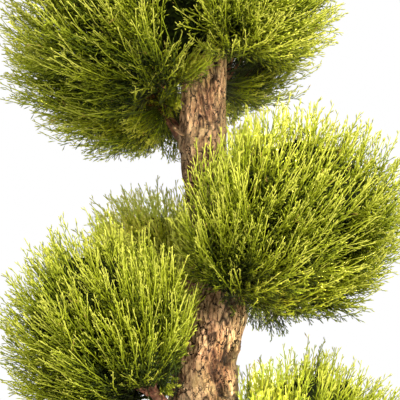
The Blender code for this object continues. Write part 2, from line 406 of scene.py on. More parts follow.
@dataclass
class Spine:
    """The middle line of a limb, with its girth: places and radii from its foot to its end."""

    places: np.ndarray
    radii: np.ndarray

    @staticmethod
    def of_node(name: str, start: np.ndarray, end: np.ndarray, count: int, blur: float) -> "Spine":
        """Read a limb's middle line from its node.

        A place is the mean of the node's points, each weighted by a bell curve of how far it lies
        from a plane square to the line from start to end. A radius is the weighted mean distance
        from that place, square to the local direction.

        Args:
            name: the node.
            start: a point near the limb's foot.
            end: a point near its end.
            count: how many places to read.
            blur: the bell curve's width, in metres.

        Returns:
            The spine.
        """
        points = node_points(name)
        along = unit(end - start)
        reach = points @ along
        stations = np.linspace(reach.min(), reach.max(), count)
        weight = np.exp(-0.5 * ((reach[None] - stations[:, None]) / blur) ** 2)
        weight /= weight.sum(1, keepdims=True)
        places = weight @ points
        places += (stations - places @ along)[:, None] * along
        tangent = unit(np.gradient(places, axis=0))
        offset = points[None] - places[:, None]
        offset = offset - (offset * tangent[:, None]).sum(-1, keepdims=True) * tangent[:, None]
        near = np.exp(-0.5 * ((reach[None] - stations[:, None]) / (0.6 * blur)) ** 2)
        near /= near.sum(1, keepdims=True)
        return Spine(places=places, radii=(near * np.linalg.norm(offset, axis=-1)).sum(1))

    def centre_at(self, height: np.ndarray) -> np.ndarray:
        """The middle line's place across, at given heights."""
        order = self.places[:, 2]
        return np.stack([np.interp(height, order, self.places[:, i]) for i in (0, 1)], axis=-1)

    def radius_at(self, height: np.ndarray) -> np.ndarray:
        """The girth at given heights."""
        return np.interp(height, self.places[:, 2], self.radii)

    def holds(self, points: np.ndarray, margin: float) -> np.ndarray:
        """Whether each point lies within the limb's girth plus a margin."""
        height = points[..., 2]
        away = np.linalg.norm(points[..., :2] - self.centre_at(height), axis=-1)
        inside = (height > self.places[0, 2]) & (height < self.places[-1, 2])
        return inside & (away < self.radius_at(height) + margin)


# ---------------------------------------------------------------------------------------------
# Finishes
# ---------------------------------------------------------------------------------------------

def add_node(
    tree: bpy.types.NodeTree, kind: str, settings: dict | None = None, inputs: dict | None = None
) -> bpy.types.Node:
    """Add a shader node with its settings and links.

    Args:
        tree: the material's node tree.
        kind: the node's type name.
        settings: attributes by name.
        inputs: socket name or number, with a value or the output socket that feeds it.

    Returns:
        The node.
    """
    node = tree.nodes.new(kind)
    for key, value in (settings or {}).items():
        setattr(node, key, value)
    for key, value in (inputs or {}).items():
        if isinstance(value, bpy.types.NodeSocket):
            tree.links.new(value, node.inputs[key])
        else:
            node.inputs[key].default_value = value
    return node


def blank_material(name: str) -> tuple[bpy.types.Material, bpy.types.NodeTree, bpy.types.Node]:
    """A new node material with its tree and its main shader."""
    material = bpy.data.materials.new(name)
    material.use_nodes = True
    tree = material.node_tree
    return material, tree, tree.nodes["Principled BSDF"]


def object_place(tree: bpy.types.NodeTree) -> bpy.types.NodeSocket:
    """The place on the piece, in metres."""
    return add_node(tree, "ShaderNodeTexCoord").outputs["Object"]


def per_metre(size_mm: float) -> float:
    """How many features of a size in millimetres fit in a metre."""
    return MM_PER_METRE / size_mm


def drawn_out(tree: bpy.types.NodeTree, place: bpy.types.NodeSocket, share: float) -> bpy.types.NodeSocket:
    """Places that draw a pattern out upwards, so that its features' width is this share of their height."""
    return add_node(tree, "ShaderNodeMapping", inputs={0: place, 3: (1.0, 1.0, share)}).outputs[0]


def noise(
    tree: bpy.types.NodeTree, place: bpy.types.NodeSocket, size_mm: float, detail: float = 3.0,
    roughness: float = 0.5,
) -> bpy.types.Node:
    """Noise in space.

    Args:
        tree: the material's node tree.
        place: where the noise is read.
        size_mm: the features' size in millimetres.
        detail: how many finer layers it has.
        roughness: how strong each finer layer is against the one before.

    Returns:
        The noise's node.
    """
    inputs = {"Vector": place, "Scale": per_metre(size_mm), "Detail": detail, "Roughness": roughness}
    return add_node(tree, "ShaderNodeTexNoise", {"noise_dimensions": "3D"}, inputs)


def ramp(
    tree: bpy.types.NodeTree, value: bpy.types.NodeSocket, stops: list[tuple[float, str]]
) -> bpy.types.NodeSocket:
    """Turn a value into a colour, by stops that each hold a value and its hex colour."""
    node = add_node(tree, "ShaderNodeValToRGB", inputs={0: value})
    elements = node.color_ramp.elements
    while len(elements) < len(stops):
        elements.new(0.5)
    for element, (place, code) in zip(elements, stops):
        element.position = place
        element.color = linear(code)
    return node.outputs["Color"]


def mixed(
    tree: bpy.types.NodeTree, share: bpy.types.NodeSocket, ground: bpy.types.NodeSocket,
    layer: bpy.types.NodeSocket | str,
) -> bpy.types.NodeSocket:
    """Blend a share of a layer, which is a socket or a hex colour, over a ground colour."""
    top = linear(layer) if isinstance(layer, str) else layer
    return add_node(tree, "ShaderNodeMix", {"data_type": "RGBA"}, {0: share, 6: ground, 7: top}).outputs[2]


def remapped(
    tree: bpy.types.NodeTree, value: bpy.types.NodeSocket, source: tuple[float, float],
    target: tuple[float, float] = (0.0, 1.0), curve: str = "LINEAR",
) -> bpy.types.NodeSocket:
    """Move a value from its source range to a target range, held at both ends."""
    inputs = {0: value, 1: source[0], 2: source[1], 3: target[0], 4: target[1]}
    return add_node(tree, "ShaderNodeMapRange", {"interpolation_type": curve}, inputs).outputs[0]


def combined(
    tree: bpy.types.NodeTree, operation: str, first: bpy.types.NodeSocket, second: bpy.types.NodeSocket
) -> bpy.types.NodeSocket:
    """Put two values together by one of the math node's operations."""
    return add_node(tree, "ShaderNodeMath", {"operation": operation}, {0: first, 1: second}).outputs[0]


def cover(
    tree: bpy.types.NodeTree, shader: bpy.types.Node, colour: bpy.types.NodeSocket,
    roughness: bpy.types.NodeSocket | float, shine: float | None = None,
    relief: tuple[bpy.types.NodeSocket, float, float] | None = None,
) -> None:
    """Give a shader its colour, roughness and relief.

    Args:
        tree: the material's node tree.
        shader: the main shader.
        colour: the surface's colour.
        roughness: its roughness, fixed or from a socket.
        shine: its specular level, where it isn't the usual one.
        relief: the height, the bump's strength and its depth in metres.
    """
    tree.links.new(colour, shader.inputs["Base Color"])
    if isinstance(roughness, float):
        shader.inputs["Roughness"].default_value = roughness
    else:
        tree.links.new(roughness, shader.inputs["Roughness"])
    if shine is not None:
        shader.inputs["Specular IOR Level"].default_value = shine
    if relief is not None:
        inputs = dict(zip(("Height", "Strength", "Distance"), relief))
        tree.links.new(add_node(tree, "ShaderNodeBump", inputs=inputs).outputs[0], shader.inputs["Normal"])


def speckled(
    name: str, grain_mm: float, stops: list[tuple[float, str]], rough: tuple[float, float],
    relief: tuple[float, float] = (0.5, 0.0008), detail: float = 3.0, roughness: float = 0.5,
) -> bpy.types.Material:
    """A matt material whose colour, roughness and relief all follow one fine noise.

    Args:
        name: the material's name.
        grain_mm: the noise's feature size in millimetres.
        stops: places in the noise with their hex colours.
        rough: the surface's roughness where the noise is 0 and where it is 1.
        relief: the bump's strength and its depth in metres.
        detail: how many finer layers the noise has.
        roughness: how strong each finer layer is against the one before.

    Returns:
        The material.
    """
    material, tree, shader = blank_material(name)
    grain = noise(tree, object_place(tree), grain_mm, detail, roughness).outputs[0]
    matt = remapped(tree, grain, (0.0, 1.0), rough)
    cover(tree, shader, ramp(tree, grain, stops), matt, relief=(grain, *relief))
    return material


@dataclass(frozen=True)
class ScaleLeafGreen:
    """Cypress spray foliage: overlapping scale leaves, waxy, bright where the growth is new.

    The chart's first number picks the shoot's tone and the second its growth value: how young the growth is,
    less painted shade on shoots deep inside the pompon, low on their stem or pointing down. So the colour runs
    from nearly black green, painted shade, to yellow green at the young tips.
    """

    # deep, shade and cool_shade are painted shade: the greens of shoots that lie in the pompon's shade.
    deep: str = "#151c04"
    shade: str = "#3f4b08"
    leaf: str = "#919b12"
    fresh: str = "#b9c22a"
    tip: str = "#dfdf5c"
    cool_shade: str = "#33490d"
    cool_leaf: str = "#768a13"
    cool_fresh: str = "#aebb22"
    dry: str = "#b8a04a"
    dry_tones: tuple[float, float] = (0.965, 0.975)

    def material(self) -> bpy.types.Material:
        """Build the foliage material."""
        material, tree, shader = blank_material("cypress_scale_leaf")
        chart = add_node(tree, "ShaderNodeUVMap", {"uv_map": CHART})
        parts = add_node(tree, "ShaderNodeSeparateXYZ", inputs={0: chart.outputs["UV"]})
        tone, growth = parts.outputs["X"], parts.outputs["Y"]
        # The ramps' low ends paint the shade inside and under the pompon.
        warm = ramp(tree, growth, [
            (0.0, self.deep), (0.30, self.shade), (0.56, self.leaf), (0.80, self.fresh), (1.0, self.tip),
        ])
        cool = ramp(tree, growth, [
            (0.0, self.deep), (0.30, self.cool_shade), (0.58, self.cool_leaf), (0.86, self.cool_fresh),
            (1.0, self.tip),
        ])
        dried = remapped(tree, tone, self.dry_tones)
        colour = mixed(tree, dried, mixed(tree, tone, warm, cool), self.dry)
        cover(tree, shader, colour, 0.5, shine=0.25)
        return material


@dataclass(frozen=True)
class PaintedShadeCore:
    """Painted shade: the near black green of a pompon's shaded middle, on a rough ball that stands in for the
    dark inside of the foliage.
    """

    # Both colours are painted shade; brown is a dark olive green.
    dark: str = "#101605"
    brown: str = "#283209"
    fleck_mm: float = 4.0

    def material(self) -> bpy.types.Material:
        """Build the litter material."""
        material, tree, shader = blank_material("painted_shade_core")
        fleck = noise(tree, object_place(tree), self.fleck_mm).outputs[0]
        cover(tree, shader, ramp(tree, fleck, [(0.42, self.dark), (0.62, self.brown)]), 0.95, shine=0.1)
        return material


@dataclass(frozen=True)
class FissuredBark:
    """Old cypress bark: flaky tan plates, split by weather and growth, over cracks darkened to near black,
    partly the dark red-brown bark inside them and partly painted shade.
    """

    dusk: str = "#4f3625"
    worn: str = "#805d42"
    plate: str = "#ba956f"
    pale: str = "#dcbb92"
    # crack: near black, partly the cracks' own dark bark and partly painted shade.
    crack: str = "#1a0e08"
    flush: str = "#a35f3c"
    lichen: str = "#8f8342"
    fibre_mm: float = 2.2
    fibre_stretch: float = 0.28
    plate_mm: float = 5.0
    plate_stretch: float = 0.30
    plate_bend: float = 1.2
    patch_mm: float = 30.0
    patch_stretch: float = 0.6
    grit_mm: float = 1.6
    coarseness: float = 0.62

    def grain(
        self, tree: bpy.types.NodeTree, place: bpy.types.NodeSocket, size_mm: float, stretch: float,
        detail: float,
    ) -> bpy.types.NodeSocket:
        """Coarse noise, drawn out along the trunk by a stretch."""
        return noise(tree, drawn_out(tree, place, stretch), size_mm, detail, self.coarseness).outputs[0]

    def plate_edges(self, tree: bpy.types.NodeTree, place: bpy.types.NodeSocket) -> bpy.types.NodeSocket:
        """Dark edges of small plates, partly painted shade between them: cells drawn out along the trunk, bent
        by noise.

        Args:
            tree: the material's node tree.
            place: the Object coordinates.

        Returns:
            1 on an edge and 0 inside a plate. Some edges are faint.
        """
        sway = noise(tree, place, self.plate_mm, 5.0, 0.65).outputs["Color"]
        middle = {0: sway, 1: (0.5, 0.5, 0.5)}
        centred = add_node(tree, "ShaderNodeVectorMath", {"operation": "SUBTRACT"}, middle)
        bend = add_node(
            tree, "ShaderNodeVectorMath", {"operation": "SCALE"},
            {0: centred.outputs[0], "Scale": self.plate_bend / per_metre(self.plate_mm)},
        )
        bent = add_node(tree, "ShaderNodeVectorMath", {"operation": "ADD"}, {0: place, 1: bend.outputs[0]})
        cells = add_node(
            tree, "ShaderNodeTexVoronoi", {"feature": "DISTANCE_TO_EDGE", "voronoi_dimensions": "3D"},
            {"Vector": drawn_out(tree, bent.outputs[0], self.plate_stretch), "Scale": per_metre(self.plate_mm)},
        )
        edge = remapped(tree, cells.outputs["Distance"], (0.02, 0.085), (1.0, 0.0), "SMOOTHSTEP")
        fade = self.grain(tree, place, self.plate_mm * 1.6, self.patch_stretch, 1.0)
        return combined(tree, "MULTIPLY", edge, remapped(tree, fade, (0.34, 0.52), (0.30, 0.96)))

    def material(self) -> bpy.types.Material:
        """Build the bark material, which reads the trunk's own crack and plate values."""
        material, tree, shader = blank_material("fissured_cypress_bark")
        place = object_place(tree)
        crack, plate = (
            add_node(tree, "ShaderNodeAttribute", {"attribute_name": key}).outputs["Fac"]
            for key in ("crack", "plate")
        )
        fibre = self.grain(tree, place, self.fibre_mm, self.fibre_stretch, 5.0)
        grit = self.grain(tree, place, self.grit_mm, 1.0, 2.0)
        patch = self.grain(tree, place, self.patch_mm, self.patch_stretch, 3.0)
        hairline = self.plate_edges(tree, place)
        stops = [(0.26, self.dusk), (0.42, self.worn), (0.56, self.plate), (0.78, self.pale)]
        colour = ramp(tree, combined(tree, "ADD", fibre, plate), stops)
        colour = mixed(tree, remapped(tree, patch, (0.54, 0.68), (0.0, 0.22)), colour, self.flush)
        colour = mixed(tree, remapped(tree, patch, (0.44, 0.32), (0.0, 0.28)), colour, self.lichen)
        # Cracks and plate edges darkened: partly their own dark bark, partly painted shade.
        colour = mixed(tree, combined(tree, "MAXIMUM", crack, hairline), colour, self.crack)
        relief = combined(tree, "SUBTRACT", combined(tree, "ADD", fibre, grit), hairline)
        matt = remapped(tree, grit, (0.0, 1.0), (0.78, 0.98))
        cover(tree, shader, colour, matt, shine=0.25, relief=(relief, 1.0, 0.0018))
        return material


@dataclass(frozen=True)
class YoungBark:
    """Young cypress wood: thin, smooth, reddish brown bark that peels in fine flakes."""

    red: str = "#8a523a"
    brown: str = "#5b3d28"
    tan: str = "#b48a66"
    flake_mm: float = 5.0

    def material(self) -> bpy.types.Material:
        """Build the young bark material."""
        stops = [(0.40, self.brown), (0.52, self.red), (0.66, self.tan)]
        return speckled("young_cypress_bark", self.flake_mm, stops, (0.65, 0.9), (0.7, 0.0010), 4.0)


@dataclass(frozen=True)
class WeatheredWood:
    """Dead twig wood: its bark has fallen off and the sun has bleached the grain to tan grey."""

    dark: str = "#6d5238"
    tan: str = "#866a4a"
    pale: str = "#a08560"
    grain_mm: float = 2.5

    def material(self) -> bpy.types.Material:
        """Build the dead wood material."""
        stops = [(0.36, self.dark), (0.52, self.tan), (0.66, self.pale)]
        return speckled("weathered_wood", self.grain_mm, stops, (0.80, 0.96))


@dataclass(frozen=True)
class UnglazedTerracotta:
    """Turned red clay, fired without glaze: matt and porous, with lime bloom and darker damp clay."""

    clay: str = "#b66a48"
    deep: str = "#a65d3e"
    dusty: str = "#c48263"
    bloom: str = "#cfb39c"
    mottle_mm: float = 45.0
    stain_mm: float = 70.0
    stain_stretch: float = 0.45
    sand_mm: float = 2.4

    def material(self) -> bpy.types.Material:
        """Build the clay material."""
        material, tree, shader = blank_material("unglazed_terracotta")
        place = object_place(tree)
        mottle = noise(tree, place, self.mottle_mm, 6.0, 0.6).outputs[0]
        sand = noise(tree, place, self.sand_mm, 2.0).outputs[0]
        body = ramp(tree, mottle, [(0.34, self.deep), (0.50, self.clay), (0.68, self.dusty)])
        stain = noise(tree, drawn_out(tree, place, self.stain_stretch), self.stain_mm, 5.0, 0.68).outputs[0]
        colour = mixed(tree, remapped(tree, stain, (0.56, 0.80), (0.0, 0.4)), body, self.bloom)
        matt = remapped(tree, mottle, (0.0, 1.0), (0.72, 0.94))
        cover(tree, shader, colour, matt, shine=0.3, relief=(sand, 0.35, 0.0005))
        return material


@dataclass(frozen=True)
class PottingCompost:
    """Moist potting compost: dark peat crumbs with brown bark and a few pale fibres."""

    peat: str = "#1d130c"
    crumb: str = "#3a281a"
    bark: str = "#6a4a30"
    crumb_mm: float = 10.0

    def material(self) -> bpy.types.Material:
        """Build the compost material."""
        stops = [(0.38, self.peat), (0.54, self.crumb), (0.70, self.bark)]
        return speckled("potting_compost", self.crumb_mm, stops, (0.85, 1.0), (0.8, 0.002), 5.0, 0.7)


@dataclass(frozen=True)
class BarkChip:
    """Composted pine bark, chipped and sieved: matt red-brown flakes with paler broken edges."""

    dark: str = "#3d2617"
    brown: str = "#6f4728"
    pale: str = "#9a7048"
    grain_mm: float = 3.0

    def material(self) -> bpy.types.Material:
        """Build the bark chip material."""
        stops = [(0.36, self.dark), (0.52, self.brown), (0.68, self.pale)]
        return speckled("bark_chip", self.grain_mm, stops, (0.82, 0.98))


@dataclass(frozen=True)
class Perlite:
    """Volcanic glass puffed by heat: light, chalky white grains, dusted with peat."""

    dust: str = "#b9ab97"
    white: str = "#e8e4dc"
    grain_mm: float = 1.5

    def material(self) -> bpy.types.Material:
        """Build the perlite material."""
        return speckled("perlite", self.grain_mm, [(0.40, self.dust), (0.60, self.white)], (0.77, 0.93))


@dataclass(frozen=True)
class StudioPaper:
    """Matt white paper for the floor of the studio."""

    white: str = "#e9e9e6"

    def material(self) -> bpy.types.Material:
        """Build the paper material."""
        material, _, shader = blank_material("studio_paper")
        shader.inputs["Base Color"].default_value = linear(self.white)
        shader.inputs["Roughness"].default_value = 0.9
        return material


# ---------------------------------------------------------------------------------------------
# Pieces
# ---------------------------------------------------------------------------------------------

class PomponPlace(Enum):
    """Where the tree carries its foliage pompons."""

    CROWN = "crown"
    RIGHT_MIDDLE = "right_middle"
    LEFT_FRONT = "left_front"
    LEFT_BACK = "left_back"
    RIGHT_LOWER = "right_lower"
    LEFT_LOWER = "left_lower"

    @property
    def foliage(self) -> str:
        """The pompon's node."""
        return "foliage_" + self.value

    @property
    def branch(self) -> str:
        """The node of the branch that carries the pompon."""
        return "branch_" + self.value


def settle(item: bpy.types.Object, material: bpy.types.Material) -> bpy.types.Object:
    """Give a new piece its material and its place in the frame."""
    item.data.materials.append(material)
    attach(item, "root")
    LOG.info("%s: %d faces", item.name, len(item.data.polygons))
    return item


@dataclass(frozen=True)
class BarkLayer:
    """One layer of the bark's pattern: its features' width and height in metres, and its seed."""

    width: float
    height: float
    seed: int
    octaves: int = 3
    girth: float = 0.163

    def at(self, spot: np.ndarray, rise: np.ndarray) -> np.ndarray:
        """Read the layer.

        Args:
            spot: place round the trunk, in whole turns.
            rise: place up the trunk, in metres.

        Returns:
            Layered noise from -1 to 1, which closes up round the trunk.
        """
        columns = max(3, round(self.girth / self.width))
        return RollingNoise(self.seed, columns, 96).layered(spot * columns, rise / self.height, self.octaves)

    def cracks(self, spot: np.ndarray, rise: np.ndarray, width: float) -> np.ndarray:
        """Thin lines where the layer passes through zero: 1 on the line, 0 from the given value on."""
        return 1.0 - smoothstep(0.0, width, np.abs(self.at(spot, rise)))


@dataclass
class BarkTrunk:
    """The trunk: a tube along its spine, furrowed and flaky, with collars and a flared foot."""

    node: str = "trunk"
    sides: int = 176
    furrow_depth: float = 0.0030
    split_depth: float = 0.0013
    flake_step: float = 0.0010
    bulge: float = 0.0011
    collar_lift: float = 0.0038
    collar_size: float = 0.012
    seam_turn: float = math.radians(325.0)
    seam_depth: float = 0.0024
    seam_width: float = 0.0010
    strip_width: float = 0.022
    stretches: tuple = ((0.36, 60), (0.54, 60), (0.72, 135), (0.93, 165), (1.04, 30))

    def __post_init__(self) -> None:
        """Read the spine from the node."""
        low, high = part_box(self.node)
        start = np.array([0.0, 0.0, low.z])
        end = np.array([0.0, 0.0, high.z])
        self.spine = Spine.of_node(self.node, start, end, 120, 0.011)
        self.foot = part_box("potting_soil")[1].z - 0.012

    def ring_heights(self) -> np.ndarray:
        """Heights of the trunk's rings: closest together along the stretches that foliage leaves bare."""
        tops = [self.foot] + [top for top, _ in self.stretches]
        tops[-1] = self.spine.places[-1, 2]
        counts = np.cumsum([0] + [count for _, count in self.stretches])
        return np.interp(np.arange(counts[-1]), counts, tops)

    def collars(self, turn: np.ndarray, height: np.ndarray, girth: np.ndarray) -> np.ndarray:
        """Bark swollen round each branch's foot, as a bell curve of the distance from it."""
        total = np.zeros(turn.shape)
        for place in PomponPlace:
            foot = limb_foot(place.branch, self.spine)
            offset = foot[:2] - self.spine.centre_at(foot[2])
            across = (turn - math.atan2(offset[1], offset[0]) + np.pi) % (2.0 * np.pi) - np.pi
            away = np.hypot(across * girth, height - foot[2]) / self.collar_size
            total += np.exp(-away ** 2)
        return total

    def build(self) -> bpy.types.Object:
        """Build the trunk.

        Returns:
            The trunk: its radius at an angle and height is the spine's girth, plus bulges, root lobes,
            collars and flakes that rise in steps, less furrows, splits and one long seam beside which
            a strip of bark stays smooth.
        """
        height = self.ring_heights()
        centre = np.concatenate([self.spine.centre_at(height), height[:, None]], axis=1)
        girth = self.spine.radius_at(height)[:, None]
        turn, rise = np.meshgrid(2.0 * np.pi * np.arange(self.sides) / self.sides, height - self.foot)
        plain = turn / (2.0 * np.pi)
        warp = BarkLayer(0.027, 0.036, 11).at(plain, rise)
        spot = plain + 0.35 * rise + 0.030 * warp
        climb = rise + 0.010 * BarkLayer(0.020, 0.030, 12).at(plain, rise)

        wander = 0.16 * BarkLayer(0.16, 0.035, 13).at(0.0 * plain, rise)
        across = (turn - self.seam_turn - wander + np.pi) % (2.0 * np.pi) - np.pi
        beside = across * girth
        reach = smoothstep(0.28, 0.34, rise) * (1.0 - smoothstep(0.66, 0.70, rise))
        seam = np.exp(-(beside / self.seam_width) ** 2) * reach
        strip = smoothstep(0.0, 0.003, beside) * reach
        strip = strip * (1.0 - smoothstep(0.7, 1.0, beside / self.strip_width))
        rough = 1.0 - 0.65 * strip

        patches = BarkLayer(0.020, 0.040, 14).at(plain, rise)
        strength = (0.35 + 0.65 * smoothstep(-0.45, 0.25, patches)) * rough
        furrow = BarkLayer(0.0095, 0.030, 15).cracks(spot, climb, 0.14) * strength
        split = BarkLayer(0.0050, 0.0095, 16, 2).cracks(spot, climb, 0.13)
        split *= smoothstep(-0.2, 0.5, BarkLayer(0.016, 0.022, 17).at(plain, rise)) * rough
        level = 2.4 * BarkLayer(0.012, 0.024, 18, 4).at(spot, climb)
        step = np.floor(level) + smoothstep(0.0, 0.25, level - np.floor(level))
        grain = BarkLayer(0.0026, 0.0075, 19, 2).at(spot, climb)

        relief = self.bulge * BarkLayer(0.024, 0.055, 20, 2).at(plain, rise)
        relief += self.flake_step * step * rough + 0.0004 * grain
        relief -= self.furrow_depth * furrow + self.split_depth * split + self.seam_depth * seam
        relief += self.collar_lift * self.collars(turn, height[:, None], girth)
        lobes = 0.5 * np.cos(5 * turn + 0.6) + 0.5 * np.cos(3 * turn + 2.0)
        relief += 0.0055 * lobes * np.exp(-rise / 0.035)

        rings = swept_rings(centre[None], (girth + relief)[None], self.sides, np.array([[0.0, 1.0, 0.0]]))
        share = (height - height[0]) / (height[-1] - height[0])
        chart = level_chart(np.linspace(0.0, 1.0, self.sides + 1), 0.02 + 0.96 * share)[None]
        # crack marks where the bark's colour is darkened: partly dark inner bark, partly painted shade in the
        # furrows, splits and seam.
        crack = np.clip(np.maximum(0.98 * furrow + 0.75 * split, seam), 0.0, 1.0)
        tone = 0.12 * step + 0.12 * grain + 0.10 * strip
        values = {"crack": crack[None], "plate": np.clip(tone, -0.3, 0.35)[None]}
        item = tube_surface(rings, chart, values).piece("bark_trunk")
        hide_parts(self.node)
        return item

    def dress(self, item: bpy.types.Object) -> None:
        """Give the trunk its bark."""
        settle(item, FissuredBark().material())


def limb_foot(node: str, trunk: Spine) -> np.ndarray:
    """Where a branch leaves the trunk: the middle of its points nearest the trunk's middle line."""
    points = node_points(node)
    away = np.linalg.norm(points[:, :2] - trunk.centre_at(points[:, 2]), axis=1)
    return points[away < np.quantile(away, 0.12)].mean(0)


@dataclass
class DeadStubs:
    """Short stubs left on the trunk where twigs died back: each a start, an end and a radius."""

    stubs_mm: tuple = (
        ((-26, -10, 836), (-38, -16, 842), 1.9),
        ((-14, -18, 828), (-24, -31, 835), 1.2),
        ((20, -20, 618), (27, -37, 623), 1.6),
        ((-24, -20, 556), (-40, -30, 559), 1.7),
        ((20, 20, 560), (34, 34, 566), 1.8),
        ((20, 22, 430), (38, 38, 438), 2),
    )
    sides: int = 10
    sag: float = 0.0022

    def build(self) -> bpy.types.Object:
        """Build the stubs as knobbly tapered tubes: a wave of noise runs along each one's radius."""
        start, end = (np.array([stub[i] for stub in self.stubs_mm]) / MM_PER_METRE for i in (0, 1))
        thick = np.array([stub[2] for stub in self.stubs_mm])[:, None, None] / MM_PER_METRE
        share = np.linspace(0.0, 1.0, 9)
        path = bowed_path(start, end, np.array([0.0, 0.0, -self.sag]), share)
        turn, rise = np.meshgrid(np.arange(self.sides) / self.sides, share)
        knobs = 1.25 - 0.5 * rise + 0.18 * RollingNoise(31, 5, 16).at(turn * 5, rise * 5)
        first_side = np.tile([[0.2, 0.3, 1.0]], (len(start), 1))
        rings = swept_rings(path, thick * knobs[None], self.sides, first_side)
        cell = (np.arange(len(start))[:, None] + np.linspace(0.05, 0.95, self.sides + 1)) / len(start)
        return tube_surface(rings, level_chart(cell, 0.02 + 0.96 * share[None])).piece("dead_stubs")


@dataclass
class Branch:
    """A branch from the trunk to a pompon: a knobbly tube along its node's spine."""

    node: str
    sides: int = 14
    rings: int = 60
    seed: int = 3

    def __post_init__(self) -> None:
        """Read the spine from the node, from its trunk end outwards."""
        points = node_points(self.node)
        start = limb_foot(self.node, BarkTrunk().spine)
        end = points[np.argmax(np.linalg.norm(points - start, axis=1))]
        self.spine = Spine.of_node(self.node, start, end, 24, 0.0075)

    def build(self) -> bpy.types.Object:
        """Build the branch, its foot run a little way into the trunk."""
        places = self.spine.places
        foot = places[0] - unit(places[1] - places[0]) * 0.006
        path = np.concatenate([foot[None], places])
        radii = np.concatenate([self.spine.radii[1:2] * 1.15, self.spine.radii])
        share = np.linspace(0.0, 1.0, self.rings)
        knots = np.linspace(0.0, 1.0, len(path))
        smooth_path = np.stack([np.interp(share, knots, path[:, i]) for i in range(3)], axis=1)
        noise = RollingNoise(self.seed, 7, 64)
        turn, rise = np.meshgrid(np.arange(self.sides) / self.sides, share)
        girth = np.interp(share, knots, radii)[:, None]
        knobs = 1.0 + 0.10 * noise.at(turn * 7, rise * 22) + 0.25 * np.exp(-rise / 0.06)
        rings = swept_rings(smooth_path[None], (girth * knobs)[None], self.sides, np.array([[0.3, 1.0, 0.2]]))
        chart = level_chart(np.linspace(0.0, 1.0, self.sides + 1), 0.02 + 0.96 * share)[None]
        item = tube_surface(rings, chart).piece("wood_" + self.node)
        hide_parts(self.node)
        return item

    def dress(self, item: bpy.types.Object, bark: bpy.types.Material) -> None:
        """Give the branch its bark."""
        settle(item, bark)


@dataclass(frozen=True)
class ShootHabit:
    """How one cypress shoot grows, with sizes in metres."""

    length: float = 0.088
    length_range: tuple[float, float] = (0.8, 1.1)
    longest_share: float = 0.86
    stem_radius: float = 0.00050
    bow_spread: float = 0.055
    upward_bow: float = 0.09
    side_twigs: int = 13
    twigs_from: float = 0.14
    twigs_to: float = 0.965
    spiral: float = math.radians(137.5)
    side_length: float = 0.0150
    side_angle: float = math.radians(33)
    twig_radius: float = 0.00062
    forked_length: float = 0.0090
    twiglets: int = 2
    twiglet_length: float = 0.0070
    twiglet_radius: float = 0.00056
    twiglet_angle: float = math.radians(37)


@dataclass(frozen=True)
class TuftHabit:
    """How shoots stand together in tufts, with sizes in metres and the rest as shares.

    Reach is how far a shoot gets towards the pompon's surface, tone picks its green, and the brightness values
    say how bright its growth is: young growth is bright, and painted shade darkens inner shoots and those that
    point down below lit_heading. Inner shoots stay short of the surface.
    """

    tuft_reach: tuple[float, float] = (0.91, 1.0)
    shoot_reach: tuple[float, float] = (0.90, 1.05)
    inner_share: float = 0.30
    inner_reach: tuple[float, float] = (0.45, 0.90)
    tip_sway: float = 0.0120
    sway_limit: float = 1.5
    base_sway: float = 0.008
    base_follows_tip: float = 0.25
    placed_tip_sway: float = 0.6
    placed_base_sway: float = 0.3
    tuft_tone: tuple[float, float] = (0.0, 0.7)
    tone_spread: float = 0.14
    top_tone: float = 0.93
    inner_youth_and_shade: float = 0.30
    outer_youth: float = 0.72
    youth_spread: float = 0.06
    lit_heading: float = 0.2


@dataclass
class Twigs:
    """Many straight-ish twigs as arrays: where each starts, points and ends, and its growth value."""

    foot: np.ndarray
    heading: np.ndarray
    length: np.ndarray
    radius: np.ndarray
    bend: np.ndarray
    tone: np.ndarray
    growth: np.ndarray
    owner: np.ndarray

    def kept(self, mask: np.ndarray) -> "Twigs":
        """Only the twigs that the mask marks."""
        return Twigs(*(getattr(self, key)[mask] for key in self.__dataclass_fields__))

    def surface(self) -> Surface:
        """Skin the twigs as spindles, thickest near their tips.

        A twig's middle line is its foot plus its heading times the distance, plus its bend times the
        share along it squared.
        """
        waist_share = 0.74
        waist = self.foot + self.heading * (waist_share * self.length)[:, None] + waist_share ** 2 * self.bend
        tip = self.foot + self.heading * self.length[:, None] + self.bend
        tone = self.tone[:, None] + np.array([0.0, -0.002, 0.002, 0.0, 0.0])
        growth = self.growth[:, None] + np.array([-0.26, 0.0, 0.0, 0.01, 0.16])
        chart = np.stack([tone, np.clip(growth, 0.01, 0.99)], axis=-1)
        return spindle_surface(self.foot, waist, tip, self.radius, chart)


